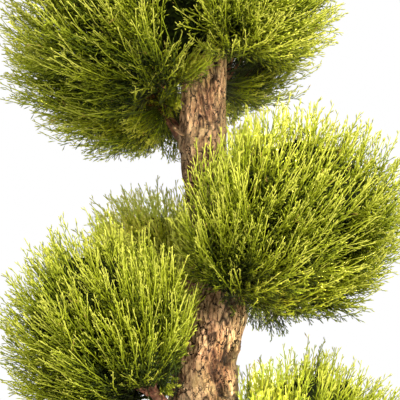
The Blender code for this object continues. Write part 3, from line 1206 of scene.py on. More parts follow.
@dataclass
class FoliagePompon:
    """One foliage pompon: shoots in tufts that fan out from burst points to the node's surface.

    Sprays are single tufts, each listed from a start to an end. No other shoot crosses the bare boxes, each
    given by its low and its high corner.
    """

    place: PomponPlace
    bursts_mm: tuple
    tufts: int
    parts: int
    seed: int
    bare_mm: tuple = ()
    sprays_mm: tuple = ()
    # painted_light_shift makes all of a pompon's foliage brighter or darker: painted light, lifting the left
    # back pompon out of the shade it stands in.
    painted_light_shift: float = 0.0
    stretch: float = 1.0
    # under_shade: how much painted shade darkens shoots that point down.
    under_shade: float = 0.12
    limb_rise: float = -0.022
    shoots_per_tuft: int = 9
    # core: the size of the dark middle, which is painted shade, as a share of the half box.
    core: float = 0.46
    habit: ShootHabit = field(default_factory=ShootHabit)
    tuft: TuftHabit = field(default_factory=TuftHabit)

    def __post_init__(self) -> None:
        """Name the node and turn the listed places into arrays in metres."""
        self.node = self.place.foliage
        self.bursts = np.array(self.bursts_mm) / MM_PER_METRE
        self.bare = np.array(self.bare_mm).reshape(-1, 2, 3) / MM_PER_METRE
        self.sprays = np.array(self.sprays_mm).reshape(-1, 2, 3) / MM_PER_METRE

    def targets(self, rng: np.random.Generator) -> np.ndarray:
        """Spread the tufts over the node's outer surface, far from each other.

        Args:
            rng: the pompon's own random numbers.

        Returns:
            Points on the surface, shape (tufts, 3).
        """
        corners = node_triangles(self.node)
        area = np.linalg.norm(np.cross(corners[:, 1] - corners[:, 0], corners[:, 2] - corners[:, 0]), axis=1)
        pick = rng.choice(len(corners), size=self.tufts * 12, p=area / area.sum())
        weight = rng.dirichlet((1.0, 1.0, 1.0), size=len(pick))
        points = (corners[pick] * weight[..., None]).sum(1)
        points = points[~self.trunk.holds(points, 0.003)]
        chosen = [0]
        gap = np.linalg.norm(points - points[0], axis=1)
        while len(chosen) < self.tufts:
            furthest = int(np.argmax(gap))
            chosen.append(furthest)
            gap = np.minimum(gap, np.linalg.norm(points - points[furthest], axis=1))
        return points[chosen]

    def grow(self, trunk: Spine) -> None:
        """Lay out the shoots: each has a base, a tip, a bow, a tone and a brightness that is how young it is,
        plus painted light and shade.

        Args:
            trunk: the trunk's spine, which shoots keep clear of.
        """
        self.trunk = trunk
        rng = np.random.default_rng(self.seed)
        habit, tuft, each = self.habit, self.tuft, self.shoots_per_tuft
        target = self.targets(rng)
        nearest = np.argmin(np.linalg.norm(target[:, None] - self.bursts[None], axis=-1), axis=1)
        burst = np.repeat(np.concatenate([self.bursts[nearest], self.sprays[:, 0]]), each, axis=0)
        aim = np.repeat(np.concatenate([target, self.sprays[:, 1]]), each, axis=0)
        count = len(aim)
        placed_tuft = np.arange(len(target) + len(self.sprays)) >= len(target)
        tufts = len(placed_tuft)
        placed = np.repeat(placed_tuft, each)
        tuft_tone = rng.uniform(*tuft.tuft_tone, tufts)
        tuft_reach = rng.uniform(*tuft.tuft_reach, tufts)
        tone = np.repeat(tuft_tone, each) + rng.normal(0.0, tuft.tone_spread, count)
        reach = np.repeat(tuft_reach, each) * rng.uniform(*tuft.shoot_reach, count)
        inner = (rng.random(count) < tuft.inner_share) & ~placed
        reach = np.where(inner, reach * rng.uniform(*tuft.inner_reach, count), reach)
        heading = unit(aim - burst)
        distance = np.linalg.norm(aim - burst, axis=1) * reach * np.where(placed, 1.0, self.stretch)
        sway = np.clip(rng.normal(0.0, 1.0, (count, 3)), -tuft.sway_limit, tuft.sway_limit) * tuft.tip_sway
        sway *= np.where(placed, tuft.placed_tip_sway, 1.0)[:, None]
        sway -= (sway * heading).sum(1, keepdims=True) * heading
        tip = burst + heading * distance[:, None] + sway
        length = habit.length * rng.uniform(*habit.length_range, count)
        length = np.minimum(length, habit.longest_share * distance)
        base_sway = rng.normal(0.0, tuft.base_sway, (tufts, 3))
        base_sway *= np.where(placed_tuft, tuft.placed_base_sway, 1.0)[:, None]
        base = burst + heading * (distance - length)[:, None] + np.repeat(base_sway, each, axis=0)
        self.burst = burst
        self.base = base + sway * tuft.base_follows_tip
        self.tip = tip
        self.length = np.linalg.norm(self.tip - self.base, axis=1)
        bow = rng.normal(0.0, habit.bow_spread, (count, 3)) - np.array([0.0, 0.0, habit.upward_bow])
        self.bow = bow * self.length[:, None]
        self.tone = np.clip(tone, 0.0, tuft.top_tone)
        # Inner shoots are darker: partly older growth, partly painted shade for the pompon's dark inside.
        self.youth_and_painted_light = np.where(inner, tuft.inner_youth_and_shade, tuft.outer_youth)
        # painted_light_shift adds painted light to the whole pompon.
        self.youth_and_painted_light += rng.normal(0.0, tuft.youth_spread, count) + self.painted_light_shift
        # Painted shade: shoots that point down below lit_heading are darker, more so the steeper they point
        # down.
        self.youth_and_painted_light += self.under_shade * np.minimum(heading[:, 2] - tuft.lit_heading, 0.0)
        self.prune(placed)

    def prune(self, placed: np.ndarray) -> None:
        """Take out shoots that cross the trunk, and those outside the listed sprays that cross a bare box."""
        course = self.along(np.linspace(0.0, 1.0, 8))
        clear = ~self.trunk.holds(course, 0.0015).any(axis=1)
        for low, high in self.bare:
            clear &= placed | ~((course > low) & (course < high)).all(axis=2).any(axis=1)
        for key in ("burst", "base", "tip", "length", "bow", "tone", "youth_and_painted_light"):
            setattr(self, key, getattr(self, key)[clear])

    def along(self, share: np.ndarray) -> np.ndarray:
        """Points on every shoot, at shares of its length from base to tip."""
        return bowed_path(self.base, self.tip, self.bow, share)

    def stems(self, chosen: np.ndarray) -> Surface:
        """Skin the chosen shoots' stems as thin three-sided tubes."""
        share = np.array([0.0, 0.36, 0.70, 0.98])
        path = self.along(share)[chosen]
        radius = np.ones((len(path), 1)) * self.habit.stem_radius * np.array([1.3, 1.1, 1.0, 0.95])
        hint = np.tile(np.array([[0.31, 0.72, 0.43]]), (len(path), 1))
        rings = swept_rings(path, radius, 3, hint)
        tone = self.tone[chosen, None, None] + np.linspace(-0.002, 0.002, 4)[None, None]
        # Stems darken towards their base, deep in the pompon: partly older growth, partly painted shade.
        growth = self.youth_and_painted_light[chosen, None] + np.array([-0.60, -0.26, 0.04, 0.30])
        chart = np.stack(np.broadcast_arrays(tone, np.clip(growth, 0.01, 0.99)[..., None]), axis=-1)
        return twig_surface(rings, chart)

    def side_twigs(self, rng: np.random.Generator) -> Twigs:
        """Side twigs in a spiral up each shoot, longest low down and short near the tip.

        Twig k of a shoot leaves its stem at the golden angle times k round it. Its heading is the
        stem's direction times the cosine of the side angle plus the side direction times the sine.
        """
        habit = self.habit
        count = len(self.base)
        order = np.arange(habit.side_twigs)
        share = habit.twigs_from + (habit.twigs_to - habit.twigs_from) * (order + 0.5) / habit.side_twigs
        share = np.clip(share[None] + rng.uniform(-0.02, 0.02, (count, habit.side_twigs)), 0.0, 0.985)
        foot = self.along(share)
        stem = unit((self.tip - self.base)[:, None] + self.bow[:, None] * (4.0 - 8.0 * share)[..., None])
        first, second = side_axes(stem, np.tile(np.array([0.31, 0.72, 0.43]), stem.shape[:2] + (1,)))
        turn = order[None] * habit.spiral + rng.uniform(0, 6.28, (count, 1))
        out = first * np.cos(turn)[..., None] + second * np.sin(turn)[..., None]
        angle = habit.side_angle * rng.uniform(0.75, 1.25, share.shape)[..., None]
        heading = stem * np.cos(angle) + out * np.sin(angle)
        taper = 0.30 + 0.70 * np.clip(1.0 - share, 0.0, 1.0) ** 0.7
        length = habit.side_length * taper * rng.uniform(0.7, 1.25, share.shape)
        length *= np.clip(self.length / habit.length, 0.5, 1.0)[:, None]
        # Side twigs low on the shoot are darker: partly older growth, partly painted shade deep in the pompon.
        growth = self.youth_and_painted_light[:, None] + (share - 0.68) * 1.0 + rng.normal(0.0, 0.07, share.shape)
        tone = np.clip(self.tone[:, None] + rng.normal(0.0, 0.06, share.shape), 0.0, 0.95)
        dry = rng.random(share.shape) < 0.006
        tone = np.where(dry, 0.99, tone)
        radius = habit.twig_radius * rng.uniform(0.85, 1.15, share.shape)
        return Twigs(
            foot=foot.reshape(-1, 3), heading=heading.reshape(-1, 3), length=length.ravel(),
            radius=radius.ravel(), bend=(stem * (0.22 * length)[..., None]).reshape(-1, 3),
            tone=tone.ravel(), growth=growth.ravel(), owner=np.repeat(np.arange(count), habit.side_twigs),
        )

    def twiglets(self, twigs: Twigs, rng: np.random.Generator) -> Twigs:
        """Short twiglets that fork off the longer side twigs, one to each side.

        Args:
            twigs: the side twigs.
            rng: the pompon's own random numbers.

        Returns:
            The twiglets.
        """
        habit = self.habit
        per_twig = habit.twiglets
        long_ones = twigs.kept(twigs.length > habit.forked_length)
        count = len(long_ones.length)
        share = np.linspace(0.40, 0.66, per_twig)[None] + rng.uniform(-0.06, 0.06, (count, per_twig))
        foot = (
            long_ones.foot[:, None]
            + long_ones.heading[:, None] * (long_ones.length[:, None] * share)[..., None]
            + long_ones.bend[:, None] * (share ** 2)[..., None]
        )
        heading = np.broadcast_to(long_ones.heading[:, None], foot.shape)
        first, second = side_axes(heading, np.roll(heading, 1, axis=2) + np.array([0.13, 0.29, 0.41]))
        turn = rng.uniform(0, 6.28, (count, 1)) + np.arange(per_twig)[None] * np.pi
        out = first * np.cos(turn)[..., None] + second * np.sin(turn)[..., None]
        way = heading * math.cos(habit.twiglet_angle) + out * math.sin(habit.twiglet_angle)
        length = habit.twiglet_length * rng.uniform(0.7, 1.3, share.shape)
        return Twigs(
            foot=foot.reshape(-1, 3), heading=way.reshape(-1, 3), length=length.ravel(),
            radius=np.full(length.size, habit.twiglet_radius),
            bend=(heading * (0.2 * length)[..., None]).reshape(-1, 3),
            tone=np.repeat(long_ones.tone, per_twig),
            growth=np.repeat(long_ones.growth, per_twig) + rng.normal(0.02, 0.05, length.size),
            owner=np.repeat(long_ones.owner, per_twig),
        )

    def build(self) -> list[bpy.types.Object]:
        """Build the pompon's foliage, split into pieces of fair size.

        Returns:
            The pieces.
        """
        rng = np.random.default_rng(self.seed + 500)
        twigs = self.side_twigs(rng)
        lets = self.twiglets(twigs, rng)
        twigs = twigs.kept(~self.trunk.holds(twigs.foot + twigs.heading * twigs.length[:, None], 0.001))
        lets = lets.kept(~self.trunk.holds(lets.foot, 0.001))
        pieces = []
        for index in range(self.parts):
            mine = np.arange(len(self.base)) % self.parts == index
            skins = [self.stems(mine), twigs.kept(mine[twigs.owner]).surface()]
            skins.append(lets.kept(mine[lets.owner]).surface())
            pieces.append(Surface.joined(skins).piece("%s_sprays_%d" % (self.node, index + 1)))
        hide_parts(self.node)
        return pieces

    def build_core(self) -> bpy.types.Object:
        """Build the dark middle: a rough ball in the node's box, painted shade for the pompon's inside.

        Its radius in a direction is the half box's, times the core share, times one plus two waves
        of noise.
        """
        low, high = (np.array(corner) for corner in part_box(self.node))
        middle = (low + high) / 2.0
        halves = (high - low) / 2.0 * self.core
        rows, columns = 40, 64
        polar = np.linspace(0.04, np.pi - 0.04, rows)
        rough = RollingNoise(self.seed + 9, 32, 32)
        turn, fall = np.meshgrid(2.0 * np.pi * np.arange(columns) / columns, polar)
        spot = turn / (2.0 * np.pi)
        reach = 1.0 + 0.08 * rough.at(spot * 8, fall * 3) + 0.10 * rough.at(spot * 32, fall * 11)
        way = np.stack([np.sin(fall) * np.cos(turn), np.sin(fall) * np.sin(turn), -np.cos(fall)], axis=-1)
        rings = middle + way * halves * reach[..., None]
        chart = level_chart(np.linspace(0.0, 1.0, columns + 1), polar / np.pi)
        return tube_surface(rings[None], chart[None]).piece(self.node + "_core")

    def build_twigwood(self, wood: np.ndarray) -> bpy.types.Object:
        """Build the thin brown wood that carries the tufts.

        A limb runs from the nearest wood to each burst point, and a bowed twig from there to each tuft.

        Args:
            wood: places on the middle lines of the trunk and the branch, shape (n, 3).

        Returns:
            The twigwood.
        """
        rng = np.random.default_rng(self.seed + 77)
        level = self.bursts + [0.0, 0.0, self.limb_rise]
        roots = wood[np.argmin(np.linalg.norm(level[:, None] - wood[None], axis=-1), axis=1)]
        pick = np.arange(0, len(self.base), 3 * self.shoots_per_tuft)
        pick = pick[self.base[pick, 2] > self.burst[pick, 2] + 0.016]
        twig_start = self.burst[pick] + rng.normal(0.0, 0.003, (len(pick), 3))
        start = np.concatenate([roots, twig_start])
        end = np.concatenate([self.bursts + [0.0, 0.0, 0.004], self.base[pick]])
        thick = np.concatenate([np.full(len(roots), 0.0028), np.full(len(pick), 0.0014)])
        thin = np.concatenate([np.full(len(roots), 0.0017), np.full(len(pick), 0.0006)])
        share = np.linspace(0.0, 1.0, 7)
        run = np.linalg.norm(end - start, axis=1)[:, None]
        bow = rng.normal(0.0, 0.04, end.shape) * run - np.array([0.0, 0.0, 0.04]) * run
        path = bowed_path(start, end, bow, share)
        radius = thick[:, None] + (thin - thick)[:, None] * share[None]
        rings = swept_rings(path, radius, 5, np.tile(np.array([[0.2, 0.9, 0.3]]), (len(end), 1)))
        cell = (np.arange(len(end))[:, None] + np.linspace(0.05, 0.95, 6)) / len(end)
        charts = level_chart(cell, 0.02 + 0.96 * share[None])
        return tube_surface(rings, charts).piece(self.node + "_twigwood")


GOLDEN = (1.0 + math.sqrt(5.0)) / 2.0
ICOSAHEDRON_CORNERS = unit(np.array([
    (-1, GOLDEN, 0), (1, GOLDEN, 0), (-1, -GOLDEN, 0), (1, -GOLDEN, 0),
    (0, -1, GOLDEN), (0, 1, GOLDEN), (0, -1, -GOLDEN), (0, 1, -GOLDEN),
    (GOLDEN, 0, -1), (GOLDEN, 0, 1), (-GOLDEN, 0, -1), (-GOLDEN, 0, 1),
]))
ICOSAHEDRON_FACES = np.array([
    (0, 11, 5), (0, 5, 1), (0, 1, 7), (0, 7, 10), (0, 10, 11), (1, 5, 9), (5, 11, 4),
    (11, 10, 2), (10, 7, 6), (7, 1, 8), (3, 9, 4), (3, 4, 2), (3, 2, 6), (3, 6, 8),
    (3, 8, 9), (4, 9, 5), (2, 4, 11), (6, 2, 10), (8, 6, 7), (9, 8, 1),
])


@dataclass(frozen=True)
class LooseLumps:
    """One kind of loose lump on the soil: how many, their mean radius in metres and their shape."""

    name: str
    count: int
    size: float
    flatness: float
    seed: int
    lift: float = 0.25

    def shapes(self, rng: np.random.Generator, turn: np.ndarray) -> np.ndarray:
        """Shape the lumps round their own middles.

        A lump is an icosahedron whose corners are moved in or out at random, stretched and turned.

        Args:
            rng: the lumps' own random numbers.
            turn: each lump's angle about the pot's axis.

        Returns:
            Corner points, shape (lumps, 12, 3).
        """
        count = self.count
        shape = ICOSAHEDRON_CORNERS[None] * rng.uniform(0.72, 1.2, (count, 12, 1))
        stretch = np.stack([
            rng.uniform(0.7, 1.5, count), rng.uniform(0.6, 1.1, count),
            rng.uniform(0.8, 1.2, count) * self.flatness,
        ], axis=-1)
        shape = shape * stretch[:, None] * (self.size * rng.uniform(0.5, 1.4, count))[:, None, None]
        heading = unit(rng.normal(0.0, 1.0, (count, 3)) * np.array([0.35, 0.35, 0.0]) + [0.0, 0.0, 1.0])
        first, second = side_axes(heading, np.stack([np.cos(turn * 5), np.sin(turn * 5), 0 * turn], axis=-1))
        return np.einsum("nck,nkd->ncd", shape, np.stack([first, second, heading], axis=1))


@dataclass
class PottedSoil:
    """The compost in the pot: a crumbly mounded top with loose crumbs, bark chips and perlite."""

    node: str = "potting_soil"
    sides: int = 128
    seed: int = 41
    crumbs: LooseLumps = LooseLumps("soil_crumbs", 1700, 0.0022, 0.8, 51)
    chips: LooseLumps = LooseLumps("soil_bark_chips", 260, 0.0050, 0.35, 52)
    grains: LooseLumps = LooseLumps("soil_perlite", 150, 0.0014, 0.9, 53)

    def __post_init__(self) -> None:
        """Read the soil's top and bottom radius from its node."""
        points = node_points(self.node)
        radius = np.linalg.norm(points[:, :2], axis=1)
        low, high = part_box(self.node)
        self.bottom = low.z
        self.rim_radius = radius.max() - 0.0004
        self.rim_height = float(points[radius > radius.max() - 0.0005, 2].mean())
        self.foot_radius = float(radius[points[:, 2] < low.z + 0.001].max())
        self.crown_height = high.z
        self.noise = RollingNoise(self.seed, 64, 64)

    def height(self, x: np.ndarray, y: np.ndarray) -> np.ndarray:
        """The soil's height: a low mound to the middle, plus two waves of noise that fade at the wall."""
        away = np.hypot(x, y) / self.rim_radius
        mound = self.rim_height + (self.crown_height - self.rim_height) * (1.0 - np.clip(away, 0, 1)) ** 1.5
        bumps = 0.0016 * self.noise.at(x / 0.012, y / 0.012)
        bumps = bumps + 0.0010 * self.noise.at(x / 0.005 + 7, y / 0.005)
        return mound - 0.001 + bumps * np.clip((1.0 - away) / 0.06, 0.0, 1.0)

    def build(self) -> bpy.types.Object:
        """Build the body of the soil: its outline turned about the pot's axis, with a rough top."""
        inward = np.linspace(self.rim_radius, 0.002, 76)
        wall = np.linspace(self.bottom, self.rim_height - 0.001, 6)
        wall_radius = np.interp(wall, [self.bottom, self.rim_height], [self.foot_radius, self.rim_radius])
        radius = np.concatenate([[0.02, self.foot_radius * 0.6], wall_radius, inward[1:]])
        angle = 2.0 * np.pi * np.arange(self.sides) / self.sides
        turn, reach = np.meshgrid(angle, radius)
        x = reach * np.cos(turn)
        y = reach * np.sin(turn)
        side = np.concatenate([[self.bottom, self.bottom], wall])[:, None] * np.ones((1, self.sides))
        z = np.concatenate([side, self.height(x[8:], y[8:])])
        rings = np.stack([x, y, z], axis=-1)[None]
        chart = level_chart(np.linspace(0.0, 1.0, self.sides + 1), np.linspace(0.02, 0.98, len(radius)))
        item = tube_surface(rings, chart[None]).piece("soil_body")
        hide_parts(self.node)
        return item

    def build_loose(self, lumps: LooseLumps) -> bpy.types.Object:
        """Scatter one kind of loose lump evenly over the soil, a part of each sunk into it."""
        rng = np.random.default_rng(lumps.seed)
        trunk = BarkTrunk().spine
        foot = float(trunk.radius_at(np.array([self.crown_height]))[0])
        inner, outer = (foot / self.rim_radius) ** 2, 0.955 ** 2
        away = np.sqrt(rng.uniform(inner, outer, lumps.count)) * self.rim_radius
        turn = rng.uniform(0.0, 2.0 * np.pi, lumps.count)
        x = away * np.cos(turn)
        y = away * np.sin(turn)
        placed = lumps.shapes(rng, turn)
        rise = self.height(x, y) + lumps.size * lumps.flatness * lumps.lift
        placed += np.stack([x, y, rise], axis=-1)[:, None]
        faces = ICOSAHEDRON_FACES
        triangles = (faces[None] + 12 * np.arange(lumps.count)[:, None, None]).reshape(-1, 3)
        spot = np.stack([x, y], axis=-1) / (2.2 * self.rim_radius) + 0.5
        corner_chart = spot[:, None, None] + (ICOSAHEDRON_CORNERS[faces][..., :2] * 0.002)[None]
        return Surface(
            points=placed.reshape(-1, 3), quads=np.empty((0, 4), int), triangles=triangles,
            quad_chart=np.empty((0, 4, 2)), triangle_chart=corner_chart.reshape(-1, 3, 2),
        ).piece(lumps.name)


@dataclass
class ClayPot:
    """The turned clay pot: a tapering body with a band round its rim and holes through its floor."""

    node: str = "pot"
    sides: int = 144
    band_height: float = 0.048
    band_step: float = 0.007
    wall: float = 0.011
    floor: float = 0.016
    edge: float = 0.004
    drain_radius: float = 0.008
    drain_pitch_radius: float = 0.075
    drain_count: int = 4
    seed: int = 5

    def __post_init__(self) -> None:
        """Read the pot's height and radii from its node."""
        low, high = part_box(self.node)
        points = node_points(self.node)
        radius = np.linalg.norm(points[:, :2], axis=1)
        self.height = high.z
        self.rim_radius = (high.x - low.x) / 2.0
        self.base_radius = float(radius[points[:, 2] < 0.0005].max()) + self.edge

    def body_radius(self, height: float) -> float:
        """The outer radius below the band, which widens evenly with height."""
        top = self.rim_radius - self.band_step
        return self.base_radius + (top - self.base_radius) * height / self.height

    def arc(self, centre: tuple[float, float], start: float, end: float) -> np.ndarray:
        """Points on an edge's arc, from one angle to another in degrees."""
        angle = np.radians(np.linspace(start, end, 7))
        return np.stack([centre[0] + self.edge * np.cos(angle), centre[1] + self.edge * np.sin(angle)], -1)

    def outline(self) -> np.ndarray:
        """The pot's half section, from the base's middle up the outside and down the inside."""
        edge = self.edge
        band_low = self.height - self.band_height
        inner_top = self.body_radius(self.height) - self.wall
        inner_foot = self.body_radius(self.floor) - self.wall
        corner = self.rim_radius - edge
        outer = np.linspace(edge, band_low - edge / 2, 40)[1:]
        inner = np.linspace(self.height - edge, self.floor + edge, 44)[1:]
        inner_radius = np.interp(
            inner, [self.floor + edge, self.height - edge],
            [self.body_radius(self.floor + edge) - self.wall, inner_top],
        )
        band = np.linspace(band_low + edge, self.height - edge, 10)[1:-1]
        return np.concatenate([
            np.stack([np.linspace(0.003, self.base_radius - edge, 12)[:-1], np.zeros(11)], -1),
            self.arc((self.base_radius - edge, edge), -90, 0),
            np.stack([[self.body_radius(z) for z in outer], outer], -1),
            self.arc((corner, band_low + edge), -70, 0),
            np.stack([np.full(8, self.rim_radius), band], -1),
            self.arc((corner, self.height - edge), 0, 90),
            self.arc((inner_top + edge, self.height - edge), 90, 180),
            np.stack([inner_radius, inner], -1),
            np.stack([np.linspace(inner_foot - edge, 0.003, 12), np.full(12, self.floor)], -1),
        ])

    def build(self) -> bpy.types.Object:
        """Build the pot: its outline turned about the axis, with fine throwing rings and soft waves.

        A point's radius is the outline's, plus rings that follow the height, plus noise. The base and
        the floor stay flat.
        """
        outline = self.outline()
        angle = 2.0 * np.pi * np.arange(self.sides) / self.sides
        wobble = RollingNoise(self.seed, 10, 40)
        fine = RollingNoise(self.seed + 1, 60, 128)
        turn, height = np.meshgrid(angle, outline[:, 1])
        spot = turn / (2.0 * np.pi)
        relief = -0.0005 + 0.00035 * wobble.at(spot * 10, height / 0.03)
        relief += 0.00012 * np.sin(height / 0.0021) + 0.00012 * fine.at(spot * 60, height / 0.004)
        relief *= smoothstep(0.03, 0.08, outline[:, :1])
        flat = (outline[:, 1:] < 0.0002) | (outline[:, 0:1] < self.base_radius - self.wall)
        radius = outline[:, :1] + np.where(flat, 0.0, relief)
        dents = 0.0009 * smoothstep(0.35, 0.9, fine.at(spot * 24 + 3.0, height * 0.0))
        top = smoothstep(self.height - self.edge, self.height, height)
        z = height - dents * top
        rings = np.stack([radius * np.cos(turn), radius * np.sin(turn), z], axis=-1)[None]
        chart = level_chart(np.linspace(0.0, 1.0, self.sides + 1), np.linspace(0.02, 0.98, len(outline)))
        item = tube_surface(rings, chart[None]).piece("clay_pot")
        self.drill(item)
        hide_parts(self.node)
        return item

    def drill(self, item: bpy.types.Object) -> None:
        """Cut the drain holes through the pot's floor and keep the result as its mesh."""
        angle = 2.0 * np.pi * (np.arange(self.drain_count) + 0.5) / self.drain_count
        centre = self.drain_pitch_radius * np.stack([np.cos(angle), np.sin(angle)], axis=-1)
        height = np.array([-0.01, self.floor + 0.008])
        path = np.concatenate([
            np.repeat(centre[:, None], 2, axis=1),
            np.broadcast_to(height[None, :, None], (self.drain_count, 2, 1)),
        ], axis=-1)
        radius = np.full((self.drain_count, 2), self.drain_radius)
        rings = swept_rings(path, radius, 32, np.tile(np.array([[0.0, 1.0, 0.0]]), (self.drain_count, 1)))
        chart = np.full((self.drain_count, 2, 33, 2), 0.5)
        cutter = tube_surface(rings, chart).piece("drain_cutter")
        step = item.modifiers.new("drain_holes", "BOOLEAN")
        step.object = cutter
        step.operation = "DIFFERENCE"
        graph = bpy.context.evaluated_depsgraph_get()
        mesh = bpy.data.meshes.new_from_object(item.evaluated_get(graph))
        item.modifiers.clear()
        item.data = mesh
        mesh.shade_smooth()
        mesh.set_sharp_from_angle(angle=math.radians(50))
        bpy.data.objects.remove(cutter, do_unlink=True)


@dataclass(frozen=True)
class Lamp:
    """One square soft light: its side in metres, power in watts, sRGB colour and beam in degrees."""

    name: str
    place: tuple[float, float, float]
    aim: tuple[float, float, float]
    size: float
    power: float
    colour: str
    beam: float = 180.0

    def hang(self) -> None:
        """Hang the light at its place, turned to its aim."""
        data = bpy.data.lights.new(self.name, "AREA")
        data.spread = math.radians(self.beam)
        data.shape = "SQUARE"
        data.size = self.size
        data.energy = self.power
        data.color = linear(self.colour)[:3]
        lamp = bpy.data.objects.new(self.name, data)
        bpy.context.scene.collection.objects.link(lamp)
        lamp.location = self.place
        x, y, z = np.array(self.aim) - np.array(self.place)
        lamp.rotation_euler = (math.atan2(math.hypot(x, y), -z), 0.0, math.atan2(y, x) - math.pi / 2.0)


@dataclass
class Studio:
    """The plain studio: pale floor, white surround, soft lights and the camera.

    The narrow lamps reach between the pompons to the bare stretches of the trunk and to the pompon
    at the left back.
    """

    lamps: tuple[Lamp, ...] = (
        Lamp("key_light", (1.3, -1.7, 2.9), (0.0, 0.0, 0.75), 0.9, 150.0, "#fffaf0"),
        Lamp("fill_light", (-1.6, -2.0, 1.7), (0.0, 0.0, 0.7), 1.6, 13.0, "#ffffff"),
        Lamp("low_trunk_light", (1.25, -1.8, 0.95), (0.018, 0.0, 0.612), 0.08, 0.17, "#fff2dc", 3.9),
        Lamp("high_trunk_light", (1.25, -1.8, 1.05), (-0.008, 0.0, 0.848), 0.08, 0.145, "#fff2dc", 4.0),
        Lamp("left_back_light", (-1.6, -1.3, 1.55), (-0.095, 0.10, 0.735), 0.08, 0.07, "#fffaf0", 3.5),
        Lamp("back_light", (-0.3, 2.2, 2.6), (0.0, 0.0, 0.75), 1.0, 22.0, "#ffffff"),
    )
    floor_radius: float = 2.6
    floor_corners: int = 128
    floor_gap: float = 0.0005
    view_middle: tuple[float, float] = (-0.012, 0.770)
    view_width: float = 0.400
    view_distance: float = 2.0
    sensor: float = 36.0
    low_sky: float = 0.07
    high_sky: float = 0.55

    def build_floor(self) -> bpy.types.Object:
        """Build the floor as a flat disc under the pot."""
        angle = 2.0 * np.pi * np.arange(self.floor_corners) / self.floor_corners
        rim = np.stack([np.cos(angle), np.sin(angle), 0.0 * angle], axis=-1) * self.floor_radius
        rim[:, 2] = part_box("pot")[0].z - self.floor_gap
        mesh = bpy.data.meshes.new("studio_floor")
        mesh.from_pydata(rim.tolist(), [], [list(range(self.floor_corners))])
        mesh.materials.append(StudioPaper().material())
        floor = bpy.data.objects.new("studio_floor", mesh)
        bpy.context.scene.collection.objects.link(floor)
        return floor

    def build_lights(self) -> None:
        """Hang the lights and set the white surround."""
        for lamp in self.lamps:
            lamp.hang()
        world = bpy.data.worlds.new("white_surround")
        world.use_nodes = True
        tree = world.node_tree
        ray = add_node(tree, "ShaderNodeLightPath")
        way = add_node(tree, "ShaderNodeTexCoord").outputs["Generated"]
        parts = add_node(tree, "ShaderNodeSeparateXYZ", inputs={0: way})
        dome = remapped(tree, parts.outputs["Z"], (-0.3, 0.9), (self.low_sky, self.high_sky))
        seen = add_node(tree, "ShaderNodeMix", inputs={0: ray.outputs["Is Camera Ray"], 2: dome, 3: 1.0})
        background = tree.nodes["Background"]
        background.inputs["Color"].default_value = linear("#ffffff")
        tree.links.new(seen.outputs[0], background.inputs["Strength"])
        bpy.context.scene.world = world
        bpy.context.scene.view_settings.view_transform = "Standard"

    def build_camera(self) -> None:
        """Set the level camera in front of the trunk's middle."""
        data = bpy.data.cameras.new("camera")
        data.sensor_width = self.sensor
        data.lens = self.sensor * self.view_distance / self.view_width
        data.dof.use_dof = False
        camera = bpy.data.objects.new("camera", data)
        bpy.context.scene.collection.objects.link(camera)
        camera.location = (self.view_middle[0], -self.view_distance, self.view_middle[1])
        camera.rotation_euler = (math.radians(90.0), 0.0, 0.0)
        bpy.context.scene.camera = camera


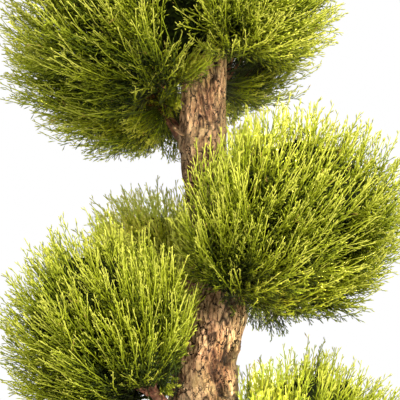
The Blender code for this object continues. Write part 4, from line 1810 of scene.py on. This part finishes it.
POMPONS = (
    FoliagePompon(
        PomponPlace.CROWN,
        bursts_mm=((-44, -44, 880), (18, -36, 920), (-48, 32, 866), (12, 40, 886)),
        tufts=366, parts=4, seed=101, painted_light_shift=0.10, limb_rise=0.035, core=0.50,
        bare_mm=(
            ((-12, -200, 800), (50, 0, 908)), ((-30, -200, 800), (-12, 0, 888)),
            ((-60, -200, 846), (-36, 8, 876)),
        ),
        sprays_mm=(
            ((-48, -46, 872), (4, -64, 932)), ((-50, -40, 880), (20, -58, 945)),
            ((-46, -42, 868), (-16, -60, 914)), ((-56, -30, 862), (-36, -46, 905)),
            ((-46, 14, 905), (-37, 20, 852)), ((-40, 30, 905), (-50, 26, 845)),
            ((-40, 40, 860), (-44, 46, 806)), ((-44, 36, 862), (-72, 44, 812)),
            ((-44, 4, 905), (-33, 20, 862)), ((-40, 16, 910), (-35, 34, 856)),
            ((-50, 2, 868), (-88, -16, 838)), ((-46, 10, 858), (-66, 0, 822)),
        ),
    ),
    FoliagePompon(
        PomponPlace.RIGHT_MIDDLE,
        bursts_mm=((24, -62, 692), (72, 0, 690)),
        tufts=212, parts=2, seed=102, painted_light_shift=0.03, under_shade=0.42, core=0.55,
        sprays_mm=(
            ((45, 30, 700), (37, 46, 638)), ((46, 30, 700), (53, 46, 630)),
            ((50, 30, 700), (71, 42, 632)), ((54, 30, 700), (90, 42, 642)),
            ((26, -56, 730), (18, -58, 846)), ((36, -36, 740), (30, -26, 862)),
            ((46, -20, 740), (40, -4, 862)), ((34, -14, 750), (26, 4, 848)),
            ((34, 10, 750), (27, 30, 848)), ((36, -30, 745), (20, -36, 834)),
            ((40, 30, 750), (36, 50, 856)),
        ),
    ),
    FoliagePompon(
        PomponPlace.LEFT_FRONT,
        bursts_mm=((-62, -94, 588), (-60, -26, 590)),
        tufts=196, parts=2, seed=103, core=0.55,
        bare_mm=(
            ((-75, -200, 550), (-44, -30, 592)), ((-14, -200, 550), (80, 0, 668)),
            ((-21, -200, 550), (80, 0, 645)), ((-30, -200, 550), (80, 0, 622)),
        ),
        sprays_mm=(
            ((-50, 6, 612), (-44, 14, 560)), ((-54, 0, 612), (-52, 10, 558)),
            ((-56, -50, 600), (-36, -62, 592)), ((-52, -20, 606), (-40, -36, 580)),
            ((-60, 12, 602), (-48, 18, 545)), ((-50, -8, 600), (-43, 4, 548)),
            ((-88, -104, 622), (-138, -118, 690)), ((-90, -104, 616), (-150, -120, 676)),
            ((-84, -100, 626), (-126, -112, 700)), ((-86, -108, 624), (-136, -132, 684)),
        ),
    ),
    FoliagePompon(
        PomponPlace.LEFT_BACK,
        bursts_mm=((-34, 84, 676),),
        # The left back pompon stands in shade; painted light brightens its foliage.
        tufts=120, parts=2, seed=104, painted_light_shift=0.24, stretch=1.04,
    ),
    FoliagePompon(
        PomponPlace.RIGHT_LOWER,
        bursts_mm=((50, -44, 462), (72, 10, 462)),
        tufts=216, parts=2, seed=105, painted_light_shift=-0.07, stretch=1.07, shoots_per_tuft=10, core=0.66,
        bare_mm=(
            ((-50, -200, 555), (24, 0, 640)),
        ),
    ),
    FoliagePompon(
        PomponPlace.LEFT_LOWER,
        bursts_mm=((-50, 10, 392), (-70, 52, 392)),
        tufts=94, parts=2, seed=106,
    ),
)


def build_tree() -> None:
    """Build the trunk, the branches and the pompons."""
    bark = YoungBark().material()
    leaf = ScaleLeafGreen().material()
    painted_shade = PaintedShadeCore().material()
    trunk = BarkTrunk()
    trunk.dress(trunk.build())
    settle(DeadStubs().build(), WeatheredWood().material())
    for pompon in POMPONS:
        branch = Branch(pompon.place.branch)
        branch.dress(branch.build(), bark)
        pompon.grow(trunk.spine)
        for piece in pompon.build():
            settle(piece, leaf)
        # The dark middle is painted shade.
        settle(pompon.build_core(), painted_shade)
        wood = np.concatenate([trunk.spine.places, branch.spine.places[3:]])
        settle(pompon.build_twigwood(wood), bark)


def build_pot_and_soil() -> None:
    """Build the pot and what fills it."""
    pot = ClayPot()
    settle(pot.build(), UnglazedTerracotta().material())
    soil = PottedSoil()
    compost = PottingCompost().material()
    settle(soil.build(), compost)
    settle(soil.build_loose(soil.crumbs), compost)
    settle(soil.build_loose(soil.chips), BarkChip().material())
    settle(soil.build_loose(soil.grains), Perlite().material())


def main() -> None:
    """Build the potted cypress, piece by piece, then the studio."""
    logging.basicConfig(level=logging.INFO)
    build_pot_and_soil()
    build_tree()
    studio = Studio()
    studio.build_floor()
    studio.build_lights()
    studio.build_camera()


if __name__ == "__main__":
    main()
